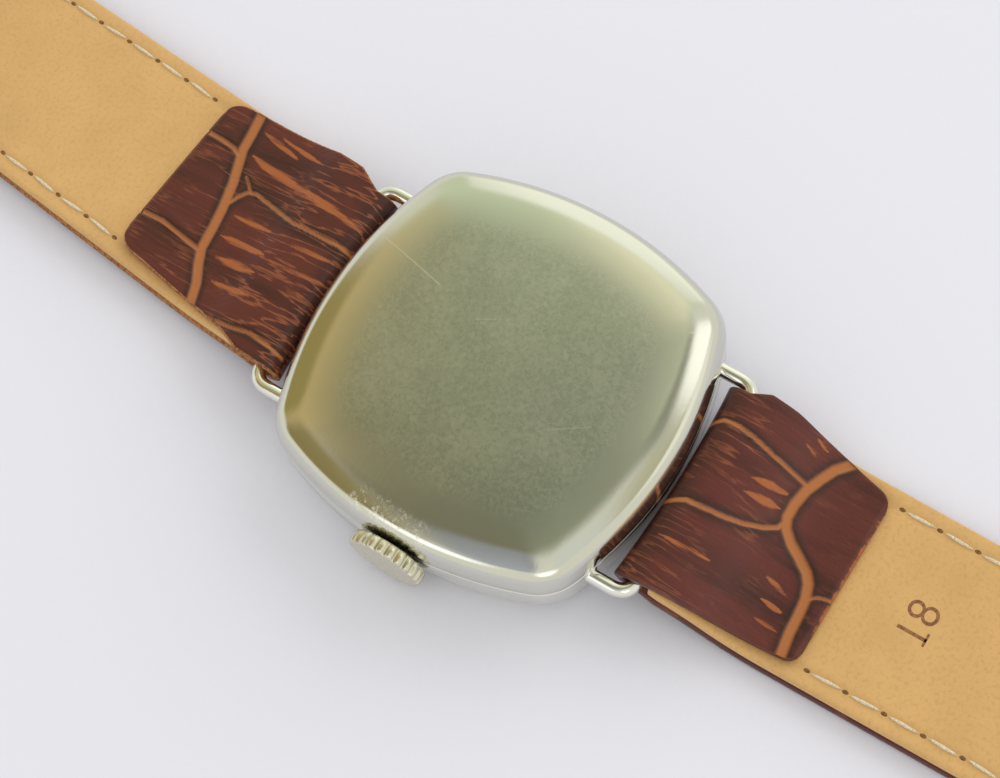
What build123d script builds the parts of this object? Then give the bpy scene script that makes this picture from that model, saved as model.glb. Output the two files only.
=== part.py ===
from build123d import *
import os
from math import atan2, cos, degrees, radians, sin, sqrt, tan

# A wristwatch with a cushion-shaped snap-back case, wire lugs, a hand-wound movement and a leather
# strap. It lies dial down: the crystal's flat face is on z = 0 and the case back looks up, along +Z.
# Twelve o'clock is towards +Y and the crown towards -X. Lengths are in millimetres, angles in degrees.

# Case outline: four wide side arcs and four small corner arcs, tangent to one another
half_width = 15.6
side_radius = 30.5
corner_radius = 4.4

# Case stack, heights above the crystal's face
bezel_z = 0.55
band_z = 2.2
seam_z = 4.8
draw_z = 5.4
edge_z = 7.0
panel_z = 8.1
edge_inset = 0.7
shoulder_slope = 28.0
draw_round = 2.0
edge_round = 0.25
shoulder_round = 6.0
back_wall = 0.6
seam_gap = 0.03
lip_clearance = 0.06
lip_height = 0.6

# Bezel and crystal
bezel_inset = 0.35
bezel_draw = 0.7
bezel_round = 0.5
crystal_radius = 12.6
crystal_face_radius = 11.9
crystal_edge_z = 0.4
crystal_thickness = 1.1
crystal_clearance = 0.02
ledge_width = 0.35

# Wire lugs
lug_wire = 1.2
lug_half_span = 9.6
lug_bar_y = 17.2
lug_bar_z = 3.6
lug_bend = 1.0
lug_embed = 1.1
lug_hole_clearance = 0.02

# Crown, on the stem's axis at three o'clock
crown_radius = 3.15
crown_z = 3.6
crown_inner_x = 15.75
crown_flank = 1.15
crown_dome = 0.35
crown_ribs = 22
crown_groove = 0.24
crown_bevel = 0.18
crown_bore = 1.35
crown_bore_depth = 0.75
stem_seat = 0.3
tube_radius = 1.2
tube_bore = 0.58
tube_stand = 0.6

# Dial and hands
dial_radius = 13.1
dial_z = 2.22
dial_thickness = 0.2
dial_seat_clearance = 0.1
seconds_y = 6.0
seconds_dial_radius = 2.7
seconds_sink = 0.08
hand_thickness = 0.12
minute_hand_z = 1.4
hour_hand_z = 1.62
seconds_hand_z = 1.86
minute_hand_length = 10.6
hour_hand_length = 7.2
seconds_hand_length = 2.3
hand_hub = 0.75
seconds_hub = 0.35
minute_hand_width = 0.75
hour_hand_width = 1.05
seconds_hand_width = 0.28
minute_hand_angle = 150.0
hour_hand_angle = 35.0
seconds_hand_angle = 300.0

# Movement plate and bridges, heights above the crystal's face
movement_radius = 12.4
movement_clearance = 0.1
plate_z = 3.0
plate_top_z = 4.2
recess_z = 3.95
bridge_gap = 0.05
train_bridge_z = 4.95
bridge_top_z = 5.4
cock_z = 5.7
cock_top_z = 6.25
pivot_clearance = 0.03

# Going train: tooth counts, modules and levels
barrel_teeth = 72
centre_leaves = 12
barrel_module = 0.13
centre_teeth = 64
third_leaves = 8
centre_module = 0.125
third_teeth = 60
fourth_leaves = 8
third_module = 0.115
fourth_teeth = 60
escape_leaves = 6
fourth_module = 0.1
escape_teeth = 15
wheel_thickness = 0.14
centre_wheel_z = 4.02
third_wheel_z = 4.3
fourth_wheel_z = 4.62
escape_wheel_z = 4.3
barrel_z = 2.98
barrel_top_z = 3.93
barrel_teeth_z = 3.45
barrel_teeth_height = 0.3
barrel_wall = 0.3
arbor_radius = 0.16
pivot_radius = 0.09
pivot_length = 0.12
addendum_share = 0.9
dedendum_share = 1.2
rim_width = 0.42
arm_width = 0.34
hub_radius = 0.75

# Winding work
ratchet_teeth = 46
crown_wheel_teeth = 20
winding_module = 0.2
winding_leaves = 9
ratchet_z = 4.9
crown_wheel_z = 4.58
winding_wheel_top_z = 5.3
ratchet_floor_z = 4.85
crown_wheel_floor_z = 4.5
crown_wheel_x = 8.0
pocket_clearance = 0.15
winding_pinion_tip = 1.1
winding_pinion_root = 0.72
winding_pinion_length = 0.8
sliding_pinion_length = 1.3
sliding_pinion_radius = 0.62
sliding_groove = 0.1
stem_radius = 0.5
stem_square = 0.56
stem_pivot = 0.24
stem_slot = 2.5
stem_slot_end = 6.6
stem_end = 5.9
stem_fit = 0.03
barrel_arbor_radius = 0.6
winding_screw_head = 0.28
ratchet_screw_slot = 20.0
crown_screw_slot = 65.0

# Bores, posts and shares of the train
dial_hole = 1.0
hour_hub = 1.15
cannon_radius = 0.6
hour_pipe_radius = 0.85
centre_arbor_radius = 0.35
centre_post_z = 1.3
centre_bore_top = 3.35
cannon_leaf_z = 2.7
cannon_leaf_height = 0.24
minute_wheel_z = 2.76
minute_post_z = 2.5
hour_wheel_z = 2.5
root_half_share = 0.3
tip_half_share = 0.11
escape_heel_share = 0.35
escape_toe_share = 0.5
barrel_cover = 0.2
mainspring_strip = 0.12
mainspring_turn_count = 7
mainspring_facet_count = 12

# Setting lever, click and screws
setting_lever_z = 2.52
setting_pin = 0.18
crown_wheel_bore = 0.9
ratchet_screw_head = 1.0
crown_screw_head = 1.15
screw_shank = 0.3
screw_head = 0.62
small_screw_head = 0.5
screw_low_z = 3.6
bridge_screw_slots = (0.0, 35.0, 70.0, 105.0)
cock_screw_slot = 50.0
pallet_screw_slot = 10.0
click_at = (2.9, 7.0)
click_hub = 0.7
click_clearance = 0.08
click_pocket = 1.68
click_cheek = 60.0
click_root = 45.0
spring_blade = 0.1

# Bridges and cocks: edges as shares of the bridges' radius, places from the centre
plate_rim = 0.8
bridge_radius = 12.0
barrel_bridge_shares = (
    (-1.04, -0.242),
    (-0.467, -0.242),
    (-0.108, 0.092),
    (0.183, 0.183),
    (0.383, 0.367),
    (0.467, 0.958),
    (0.467, 1.1),
    (-1.04, 1.1),
)
train_bridge_shares = (
    (-1.04, -0.258),
    (-0.467, -0.258),
    (-0.117, 0.067),
    (-0.07, 0.088),
    (0.07, 0.088),
    (0.105, 0.06),
    (0.12, -0.05),
    (0.13, -0.45),
    (0.3, -0.495),
    (0.35, -0.54),
    (0.355, -0.61),
    (0.29, -0.66),
    (0.14, -0.75),
    (-0.02, -1.04),
    (-1.04, -1.04),
)
barrel_bridge_screws = ((-10.0, 4.4), (2.4, 10.4))
train_bridge_screws = ((-9.9, -4.9), (-3.2, -10.6))
bridge_foot_radius = 9.7
bridge_foot_start = 197.0
bridge_foot_end = 262.0
rim_facet_count = 6
jewel_radius = 0.45
pallet_screw_at = (8.0, -6.9)
pallet_cock_z = 4.52
pallet_cock_top = 4.85
pallet_cock_half = 0.8
cock_screw_at = (8.6, 6.0)
cock_table = 1.3
cock_half = 1.7
stud_angle = 30.0
stud_radius = 0.2
regulator_ring = 0.9
regulator_arm = 0.25
regulator_reach = 2.6
regulator_thickness = 0.18
stone_angle = 30.0
stone_orbit = 2.26
stone_length = 0.5
stone_width = 0.2
pad_back = 0.38
pad_radius = 0.32

# Motion work under the dial
minute_leaves = 10
minute_teeth = 36
cannon_leaves = 12
hour_teeth = 40
cannon_module = 0.1
hour_module = 0.096
motion_angle = -40.0

# Balance and lever
balance_x = 6.2
balance_y = -1.7
balance_radius = 4.2
balance_rim = 0.45
balance_z = 5.0
balance_height = 0.25
staff_radius = 0.2
roller_radius = 0.95
roller_z = 4.5
roller_height = 0.12
pin_orbit = 0.7
pin_radius = 0.1
escape_radius = 2.3
escape_root = 1.75
escape_angle = -15.0
lever_reach = 2.75
lever_notch = 0.56
lever_width = 0.3
lever_z = 4.3
spring_z = 5.38
spring_height = 0.16
spring_strip = 0.05
spring_turn_count = 7
spring_inner = 0.6
spring_pitch = 0.24
spring_facet_count = 14

# Strap: three layers of leather on the bars, lengths measured from the bar outward
strap_loop_half = 8.6
outer_leather = 0.8
lining_leather = 0.9
flap_leather = 0.7
bar_clearance = 0.05
settle_length = 11.0
lining_start = 1.15
lining_inset = 0.2
shoulder_run = 1.2
twelve_length = 75.0
twelve_lift = 0.75
twelve_left = 8.3
twelve_right = 9.7
twelve_drift = 8.5
twelve_end_half = 8.0
twelve_flap_length = 14.8
twelve_flap_left = 6.1
twelve_flap_right = 9.3
six_length = 115.0
six_half = 8.9
six_end_half = 7.9
six_tip_length = 9.0
six_tip_half = 4.0
six_flap_length = 13.3
six_flap_left = 8.3
six_flap_right = 6.6
flap_corner = 2.4
strap_hole_count = 7
strap_hole_radius = 0.85
strap_hole_pitch = 6.0
strap_hole_first = 62.0

# Buckle and keepers
buckle_bar_radius = 0.6
end_leather = 0.7
end_tail = 9.0
end_slot = 2.6
frame_side_gap = 0.4
frame_side = 1.9
frame_front = 2.0
frame_reach = 11.6
frame_back = 1.5
frame_z = 0.68
frame_height = 2.4
frame_corner = 2.2
frame_edge = 0.35
tongue_width = 1.6
tongue_thickness = 0.55
tongue_reach = 12.3
tongue_tip_z = 0.06
keeper_thickness = 0.7
keeper_width = 5.0
keeper_room = 3.65
keeper_side_gap = 0.3
fixed_keeper_back = 11.5
loose_keeper_back = 22.0

# Overrun of cuts
overrun = 1.0

os.makedirs("parts", exist_ok=True)


def save(builder, name):
    """Labels a finished piece and writes its file."""
    builder.part.label = name
    export_step(builder.part, f"parts/{name}.step")


# Outline of the case

side_centre = half_width - side_radius
arc_run = side_radius - corner_radius
corner_centre = (side_centre + sqrt(2 * arc_run**2 - side_centre**2)) / 2
side_half_angle = degrees(atan2(corner_centre, corner_centre - side_centre))


def turned(x, y, angle):
    """The point (x, y) turned about the origin."""
    c, s = cos(radians(angle)), sin(radians(angle))
    return (x * c - y * s, x * s + y * c)


def cushion(inset):
    """The case's outline, moved inward by the inset, with every arc still concentric."""
    with BuildSketch() as outline:
        with BuildLine():
            for quarter in range(4):
                at = 90 * quarter
                CenterArc(
                    turned(side_centre, 0, at),
                    side_radius - inset,
                    at - side_half_angle,
                    2 * side_half_angle,
                )
                CenterArc(
                    turned(corner_centre, corner_centre, at),
                    corner_radius - inset,
                    at + side_half_angle,
                    90 - 2 * side_half_angle,
                )
        make_face()
    return outline.sketch


def edge_at(x, inset=0):
    """How far the twelve o'clock side of the outline lies from the centre, at a given x."""
    return side_centre + sqrt((side_radius - inset) ** 2 - x**2)


# Case back: a pressed shell whose side draws in to a soft edge, under a broad shoulder and a level panel


def pressed(inset, drop):
    """The back's form as a solid, moved in by the inset and with its panel let down by the drop."""
    turn_z = edge_z - drop / 2
    draw_share = edge_inset / (edge_z - draw_z)
    turn_inset = inset + draw_share * (turn_z - draw_z)
    with BuildPart() as solid:
        with BuildSketch(Plane.XY.offset(seam_z)):
            add(cushion(inset))
        extrude(amount=draw_z - seam_z)
        with BuildSketch(Plane.XY.offset(draw_z)):
            add(cushion(inset))
        extrude(amount=turn_z - draw_z, taper=degrees(atan2(edge_inset, edge_z - draw_z)))
        with BuildSketch(Plane.XY.offset(turn_z)):
            add(cushion(turn_inset))
        extrude(amount=panel_z - drop - turn_z, taper=90 - shoulder_slope)
    return solid


def rim_at(solid, height):
    """The edges of a solid that lie level at a height."""
    return solid.edges().filter_by_position(Axis.Z, height - seam_gap, height + seam_gap)


with BuildPart() as case_back:
    add(pressed(0, 0).part)
    fillet(rim_at(case_back, panel_z), shoulder_round)
    fillet(rim_at(case_back, edge_z), edge_round)
    fillet(rim_at(case_back, draw_z), draw_round)
    add(pressed(back_wall, back_wall).part, mode=Mode.SUBTRACT)
save(case_back, "case_back")

# Middle case: the band that holds the movement, the lugs and the crown's tube

with BuildPart() as case_band:
    with BuildSketch(Plane.XY.offset(band_z)):
        add(cushion(0))
    extrude(amount=seam_z - seam_gap - band_z)
    with BuildSketch(Plane.XY.offset(seam_z - seam_gap)):
        add(cushion(back_wall + lip_clearance))
    extrude(amount=lip_height)
    with BuildSketch(Plane.XY.offset(band_z)):
        Circle(movement_radius + movement_clearance)
    extrude(amount=seam_z + lip_height, mode=Mode.SUBTRACT)
    with BuildSketch(Plane.XY.offset(band_z)):
        Circle(dial_radius + dial_seat_clearance)
    extrude(amount=dial_z + dial_thickness + bridge_gap - band_z, mode=Mode.SUBTRACT)
    with BuildSketch(Plane.YZ.offset(-half_width - overrun)):
        with Locations((0, crown_z)):
            Circle(tube_radius)
    extrude(amount=half_width + overrun - movement_radius, mode=Mode.SUBTRACT)
    for side in (-1, 1):
        for x in (-lug_half_span, lug_half_span):
            depth = edge_at(x) - lug_embed - lug_hole_clearance
            with BuildSketch(Plane.XZ.offset(-side * depth)):
                with Locations((x, lug_bar_z)):
                    Circle(lug_wire / 2 + lug_hole_clearance)
            extrude(amount=-side * lug_embed * 2, mode=Mode.SUBTRACT)
save(case_band, "case_band")

with BuildPart() as crown_tube:
    with BuildSketch(Plane.YZ.offset(-half_width - tube_stand)):
        with Locations((0, crown_z)):
            Circle(tube_radius)
            Circle(tube_bore, mode=Mode.SUBTRACT)
    extrude(amount=half_width + tube_stand - movement_radius - movement_clearance - bridge_gap)
save(crown_tube, "crown_tube")

# Bezel: drawn in towards the front, bored for the crystal, with a ledge behind it

with BuildPart() as bezel:
    with BuildSketch(Plane.XY.offset(band_z)):
        add(cushion(bezel_inset))
    extrude(amount=bezel_z - band_z, taper=degrees(atan2(bezel_draw, band_z - bezel_z)))
    fillet(bezel.faces().sort_by(Axis.Z)[0].edges(), bezel_round)
    with BuildSketch(Plane.XY.offset(crystal_thickness)):
        Circle(crystal_radius + crystal_clearance)
    extrude(amount=-crystal_thickness, mode=Mode.SUBTRACT)
    with BuildSketch(Plane.XY.offset(crystal_thickness)):
        Circle(crystal_radius - ledge_width)
    extrude(amount=band_z - crystal_thickness, mode=Mode.SUBTRACT)
save(bezel, "bezel")

with BuildPart() as crystal:
    with BuildSketch(Plane.XZ):
        Polygon(
            (0, 0),
            (crystal_face_radius, 0),
            (crystal_radius, crystal_edge_z),
            (crystal_radius, crystal_thickness),
            (0, crystal_thickness),
            align=None,
        )
    revolve(axis=Axis.Z)
save(crystal, "crystal")

# Wire lugs: one bent wire at each end, let into the band


def wire_lug(side):
    """The wire at one end of the case; side is 1 at twelve o'clock and -1 at six."""
    root = side * (edge_at(lug_half_span) - lug_embed)
    bar = side * lug_bar_y
    with BuildPart() as wire:
        with BuildLine() as route:
            FilletPolyline(
                (-lug_half_span, root, lug_bar_z),
                (-lug_half_span, bar, lug_bar_z),
                (lug_half_span, bar, lug_bar_z),
                (lug_half_span, root, lug_bar_z),
                radius=lug_bend,
            )
        with BuildSketch(Plane(origin=route.line @ 0, z_dir=route.line % 0)):
            Circle(lug_wire / 2)
        sweep()
    return wire


save(wire_lug(1), "wire_lug_twelve")
save(wire_lug(-1), "wire_lug_six")

# Crown: ribbed flank with V grooves, a low dome, and a bore that clears the case's tube

rib_step = 360 / crown_ribs
groove_angle = degrees(crown_groove / crown_radius)
crown_points = []
for rib in range(crown_ribs):
    start = rib * rib_step
    crown_points.append(turned(crown_radius - crown_groove, 0, start))
    crown_points.append(turned(crown_radius - crown_bevel / 3, 0, start + groove_angle))
    crown_points.append(turned(crown_radius, 0, start + rib_step / 2))
    crown_points.append(turned(crown_radius - crown_bevel / 3, 0, start + rib_step - groove_angle))

with BuildPart() as crown:
    with BuildSketch(Plane(origin=(-crown_inner_x, 0, crown_z), x_dir=(0, 1, 0), z_dir=(-1, 0, 0))):
        Polygon(*crown_points, align=None)
    extrude(amount=crown_flank + crown_dome)
    with BuildSketch(Plane(origin=(-crown_inner_x, 0, crown_z), x_dir=(-1, 0, 0), z_dir=(0, 1, 0))):
        with BuildLine():
            Polyline(
                (crown_flank - crown_bevel, crown_radius),
                (crown_bevel, crown_radius),
                (0, crown_radius - crown_bevel),
                (0, 0),
                (crown_flank + crown_dome, 0),
            )
            ThreePointArc(
                (crown_flank + crown_dome, 0),
                (crown_flank + crown_dome * 3 / 4, crown_radius / 2),
                (crown_flank, crown_radius - crown_bevel),
            )
            Line((crown_flank, crown_radius - crown_bevel), (crown_flank - crown_bevel, crown_radius))
        make_face()
    revolve(axis=Axis((0, 0, crown_z), (1, 0, 0)), mode=Mode.INTERSECT)
    with BuildSketch(Plane.YZ.offset(-crown_inner_x)):
        with Locations((0, crown_z)):
            Circle(crown_bore)
    extrude(amount=-crown_bore_depth, mode=Mode.SUBTRACT)
    with BuildSketch(Plane.YZ.offset(-crown_inner_x)):
        with Locations((0, crown_z)):
            Circle(stem_radius)
    extrude(amount=-crown_bore_depth - stem_seat, mode=Mode.SUBTRACT)
save(crown, "crown")

# Winding stem: round under the crown and the winding pinion, square under the sliding pinion

winding_pinion_x = crown_wheel_x + crown_wheel_teeth * winding_module / 2 + winding_module
sliding_x = winding_pinion_x - winding_pinion_length - bridge_gap
stem_pivot_x = stem_slot_end + 2 * stem_square
groove_x = winding_pinion_x + 3 * stem_radius
groove_width = stem_radius
stem_head_x = crown_inner_x + crown_bore_depth + stem_seat

with BuildPart() as winding_stem:
    with BuildSketch(Plane.YZ.offset(-stem_head_x)):
        with Locations((0, crown_z)):
            Circle(stem_radius)
    extrude(amount=stem_head_x - winding_pinion_x + winding_pinion_length)
    with BuildSketch(Plane.YZ.offset(-groove_x)):
        with Locations((0, crown_z)):
            Circle(stem_radius + overrun)
            Circle(stem_radius * 3 / 5, mode=Mode.SUBTRACT)
    extrude(amount=-groove_width, mode=Mode.SUBTRACT)
    with BuildSketch(Plane.YZ.offset(-winding_pinion_x + winding_pinion_length)):
        with Locations((0, crown_z)):
            Rectangle(stem_square, stem_square)
    extrude(amount=winding_pinion_x - winding_pinion_length - stem_pivot_x)
    with BuildSketch(Plane.YZ.offset(-stem_pivot_x)):
        with Locations((0, crown_z)):
            Circle(stem_pivot)
    extrude(amount=stem_pivot_x - stem_end)
save(winding_stem, "winding_stem")

# Strap layers. Seen from the side each layer runs off the bar level, falls in two equal tangent
# arcs, and then lies flat; distances are measured outward from the bar's axis

loop_inner = lug_wire / 2 + bar_clearance
loop_outer = loop_inner + outer_leather
loop_low = lug_bar_z - loop_outer


def fall(side, start, drop_to, length):
    """Two tangent arcs and a level run, from the bar outward, in the sketch plane (y, z)."""
    bar = side * lug_bar_y
    middle = (start + drop_to) / 2
    half = settle_length / 2
    radius = (settle_length**2 + (start - drop_to) ** 2) / (4 * (start - drop_to))
    sag = radius - sqrt(radius**2 - (half / 2) ** 2)
    quarter = (bar + side * half / 2, start - sag)
    three_quarters = (bar + side * (settle_length - half / 2), drop_to + sag)
    ThreePointArc((bar, start), quarter, (bar + side * half, middle))
    ThreePointArc((bar + side * half, middle), three_quarters, (bar + side * settle_length, drop_to))
    Line((bar + side * settle_length, drop_to), (bar + side * length, drop_to))


def layer(side, low, high, plan, reach):
    """A layer between two falls, given as (height at the bar, height when flat), cut to its plan."""
    with BuildPart() as sheet:
        with BuildSketch(Plane.YZ.offset(-reach)):
            with BuildLine():
                fall(side, low[0], low[1], plan_length(plan))
                fall(side, high[0], high[1], plan_length(plan))
                Line((side * lug_bar_y, low[0]), (side * lug_bar_y, high[0]))
                end = side * (lug_bar_y + plan_length(plan))
                Line((end, low[1]), (end, high[1]))
            make_face()
        extrude(amount=2 * reach)
        with BuildSketch(Plane.XY):
            add(plan)
        extrude(amount=loop_outer + lug_bar_z, mode=Mode.INTERSECT)
    return sheet.part


def plan_length(plan):
    """The greatest distance from the bar that a plan reaches."""
    box = plan.bounding_box()
    return max(abs(box.min.Y), abs(box.max.Y)) - lug_bar_y


def outline(side, points, corners=0, rounded=0):
    """A plan from (x, distance from the bar) points; the last `rounded` corners get a radius."""
    with BuildSketch() as plan:
        Polygon(*[(x, side * (lug_bar_y + out)) for x, out in points], align=None)
        if rounded:
            tips = plan.vertices().sort_by(Axis.Y, reverse=side > 0)[:rounded]
            fillet(tips, corners)
    return plan.sketch


def loop(side):
    """The half sleeve of leather round the case's bar."""
    with BuildPart() as sleeve:
        with BuildSketch(Plane.YZ.offset(-strap_loop_half)):
            with Locations((side * lug_bar_y, lug_bar_z)):
                Circle(loop_outer)
                Circle(loop_inner, mode=Mode.SUBTRACT)
            with Locations((side * (lug_bar_y + loop_outer), lug_bar_z)):
                Rectangle(2 * loop_outer, 2 * loop_outer, mode=Mode.SUBTRACT)
        extrude(amount=2 * strap_loop_half)
    return sleeve.part


def leather_levels(lift):
    """Height at the bar and when flat, of each face between the layers, from the lowest up."""
    flat = lift + outer_leather
    return (
        (loop_low, lift),
        (lug_bar_z - loop_inner, flat),
        (lug_bar_z + loop_inner, flat + lining_leather),
        (lug_bar_z + loop_outer, flat + lining_leather + flap_leather),
    )


def strap_outer(side, lift, plan, flap_plan, reach):
    """Outer leather: the long run, the loop round the bar, and the flap that returns over the lining."""
    levels = leather_levels(lift)
    with BuildPart() as leather:
        add(layer(side, levels[0], levels[1], plan, reach))
        add(layer(side, levels[2], levels[3], flap_plan, reach))
        add(loop(side))
    return leather


def strap_lining(side, lift, plan, reach):
    """Lining: the inner layer, starting just behind the bar."""
    levels = leather_levels(lift)
    with BuildPart() as leather:
        add(layer(side, levels[1], levels[2], plan, reach))
        with BuildSketch(Plane.XZ.offset(-side * (lug_bar_y + lining_start))):
            with Locations((0, lug_bar_z)):
                Rectangle(4 * reach, 4 * lug_bar_z)
        extrude(amount=side * lining_start * 2, mode=Mode.SUBTRACT)
    return leather


# Twelve o'clock strap: drifts towards +X as it leaves the case, and ends at the buckle's bar

drift_angle = degrees(atan2(twelve_drift - (twelve_right - twelve_left) / 2, twelve_length - shoulder_run))
end_slope = tan(radians(drift_angle))
twelve_reach = twelve_drift + 2 * twelve_end_half


def twelve_plan(inset):
    """The twelve o'clock strap seen from above, cut square to its own run at the buckle."""
    left_end = twelve_length + twelve_end_half * end_slope
    right_end = twelve_length - twelve_end_half * end_slope
    return outline(
        1,
        (
            (inset - strap_loop_half, 0),
            (inset - twelve_left, shoulder_run),
            (twelve_drift - twelve_end_half + inset, left_end),
            (twelve_drift + twelve_end_half - inset, right_end),
            (twelve_right - inset, shoulder_run),
            (strap_loop_half - inset, 0),
        ),
    )


def six_plan(inset):
    """The six o'clock strap seen from above, with its narrowed, rounded tip."""
    return outline(
        -1,
        (
            (inset - strap_loop_half, 0),
            (inset - six_half, shoulder_run),
            (inset - six_end_half, six_length - six_tip_length),
            (inset - six_tip_half, six_length - inset),
            (six_tip_half - inset, six_length - inset),
            (six_end_half - inset, six_length - six_tip_length),
            (six_half - inset, shoulder_run),
            (strap_loop_half - inset, 0),
        ),
        corners=six_tip_half / 2,
        rounded=2,
    )


twelve_flap = outline(
    1,
    (
        (-strap_loop_half, 0),
        (-strap_loop_half, shoulder_run),
        (-twelve_flap_left, twelve_flap_length),
        (twelve_flap_right, twelve_flap_length),
        (twelve_flap_right, shoulder_run),
        (strap_loop_half, 0),
    ),
    corners=flap_corner,
    rounded=2,
)
six_flap = outline(
    -1,
    (
        (-strap_loop_half, 0),
        (-strap_loop_half, shoulder_run),
        (-six_flap_left, six_flap_length),
        (six_flap_right, six_flap_length),
        (strap_loop_half, shoulder_run),
        (strap_loop_half, 0),
    ),
    corners=flap_corner,
    rounded=2,
)

# At the buckle the outer leather is skived, turned round the buckle's bar and sewn back on the lining

buckle_loop_inner = buckle_bar_radius + bar_clearance
buckle_loop_outer = buckle_loop_inner + end_leather
buckle_z = twelve_lift + buckle_loop_outer
buckle_at = (twelve_drift, lug_bar_y + twelve_length)
along = turned(0, 1, -drift_angle)
across = turned(1, 0, -drift_angle)


def end_plane(local_x=0, local_y=0, height=0):
    """A level plane at the buckle's bar, with its y axis along the strap, moved by local distances."""
    origin = (
        buckle_at[0] + across[0] * local_x + along[0] * local_y,
        buckle_at[1] + across[1] * local_x + along[1] * local_y,
        height,
    )
    return Plane(origin=origin, x_dir=(across[0], across[1], 0), z_dir=(0, 0, 1))


def end_profile(local_x):
    """An upright plane square to the buckle's bar, with x along the strap and y up."""
    base = end_plane(local_x)
    return Plane(origin=base.origin, x_dir=(along[0], along[1], 0), z_dir=(across[0], across[1], 0))


lining_top = twelve_lift + outer_leather + lining_leather

with BuildPart() as end_turn:
    with BuildSketch(end_profile(-twelve_end_half)):
        with Locations((0, buckle_z)):
            Circle(buckle_loop_outer)
        with Locations((-buckle_loop_outer, buckle_z)):
            Rectangle(2 * buckle_loop_outer, 2 * buckle_loop_outer, mode=Mode.SUBTRACT)
        with BuildLine():
            Polyline(
                (0, buckle_z + buckle_loop_outer),
                (0, buckle_z + buckle_loop_inner),
                (-buckle_loop_outer, lining_top),
                (-end_tail, lining_top),
                (-end_tail, lining_top + end_leather / 2),
                (-buckle_loop_outer, lining_top + end_leather),
                close=True,
            )
        make_face()
        with Locations((0, buckle_z)):
            Circle(buckle_loop_inner, mode=Mode.SUBTRACT)
    extrude(amount=2 * twelve_end_half)

with BuildPart() as strap_twelve_outer:
    add(strap_outer(1, twelve_lift, twelve_plan(0), twelve_flap, twelve_reach).part)
    with BuildSketch(end_plane(0, 0, buckle_z)):
        Rectangle(4 * twelve_end_half, 2 * buckle_loop_outer + 2 * overrun, align=(Align.CENTER, Align.MIN))
    extrude(amount=2 * buckle_loop_outer, both=True, mode=Mode.SUBTRACT)
    add(end_turn.part)
    with BuildSketch(end_profile(-twelve_end_half - overrun)):
        with Locations((0, buckle_z)):
            Circle(buckle_loop_inner)
    extrude(amount=2 * (twelve_end_half + overrun), mode=Mode.SUBTRACT)
    with BuildSketch(end_plane(0, -buckle_loop_outer, 0)):
        Rectangle(end_slot, 4 * buckle_loop_outer, align=(Align.CENTER, Align.MIN))
    extrude(amount=4 * buckle_loop_outer, mode=Mode.SUBTRACT)
save(strap_twelve_outer, "strap_twelve_outer")

with BuildPart() as strap_twelve_lining:
    add(strap_lining(1, twelve_lift, twelve_plan(lining_inset), twelve_reach).part)
    with BuildSketch(end_plane(0, -buckle_loop_outer - bar_clearance, 0)):
        Rectangle(4 * twelve_end_half, twelve_end_half, align=(Align.CENTER, Align.MIN))
    extrude(amount=4 * buckle_loop_outer, mode=Mode.SUBTRACT)
save(strap_twelve_lining, "strap_twelve_lining")


def hole_places():
    """Centres of the six o'clock strap's holes."""
    return [(0, -lug_bar_y - strap_hole_first - strap_hole_pitch * n) for n in range(strap_hole_count)]


def punched(blank):
    """A six o'clock layer with the row of buckle holes through it."""
    with BuildPart() as piece:
        add(blank.part)
        with BuildSketch(Plane.XY):
            with Locations(*hole_places()):
                Circle(strap_hole_radius)
        extrude(amount=outer_leather + lining_leather + overrun, mode=Mode.SUBTRACT)
    return piece


save(punched(strap_outer(-1, 0, six_plan(0), six_flap, 2 * six_half)), "strap_six_outer")
save(punched(strap_lining(-1, 0, six_plan(lining_inset), 2 * six_half)), "strap_six_lining")

# Buckle: a D-shaped frame, its bar, and a tongue that curls round the bar

frame_half = twelve_end_half + frame_side_gap + frame_side

with BuildPart() as buckle_frame:
    with BuildSketch(end_plane(0, 0, frame_z)):
        with Locations((0, (frame_reach - frame_back) / 2)):
            RectangleRounded(2 * frame_half, frame_reach + frame_back, frame_corner)
        with Locations((0, (frame_reach - frame_front - frame_back - overrun) / 2)):
            Rectangle(
                2 * (frame_half - frame_side),
                frame_reach - frame_front + frame_back + overrun,
                mode=Mode.SUBTRACT,
            )
    extrude(amount=frame_height)
    chamfer(buckle_frame.edges().filter_by(Axis.Z, reverse=True), frame_edge)
    with BuildSketch(end_profile(-frame_half + frame_side / 2)):
        with Locations((0, buckle_z)):
            Circle(buckle_bar_radius + pivot_clearance)
    extrude(amount=2 * (frame_half - frame_side / 2), mode=Mode.SUBTRACT)
save(buckle_frame, "buckle_frame")

with BuildPart() as buckle_bar:
    with BuildSketch(end_profile(-frame_half + frame_side / 2 + bar_clearance)):
        with Locations((0, buckle_z)):
            Circle(buckle_bar_radius)
    extrude(amount=2 * (frame_half - frame_side / 2 - bar_clearance))
save(buckle_bar, "buckle_bar")

tongue_eye = buckle_loop_inner + tongue_thickness

with BuildPart() as buckle_tongue:
    with BuildSketch(end_profile(-tongue_width / 2)):
        with BuildLine():
            Polyline(
                (0, buckle_z - tongue_eye),
                (buckle_loop_outer, buckle_z - tongue_eye),
                (frame_reach - frame_front, tongue_tip_z),
                (tongue_reach, tongue_tip_z),
                (tongue_reach, frame_z - bar_clearance),
                (frame_reach - frame_front - overrun / 2, frame_z - bar_clearance),
                (buckle_loop_outer, buckle_z - buckle_loop_inner),
                (0, buckle_z),
                close=True,
            )
        make_face()
        with Locations((0, buckle_z)):
            Circle(tongue_eye)
            Circle(buckle_loop_inner, mode=Mode.SUBTRACT)
    extrude(amount=tongue_width)
save(buckle_tongue, "buckle_tongue")


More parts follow.
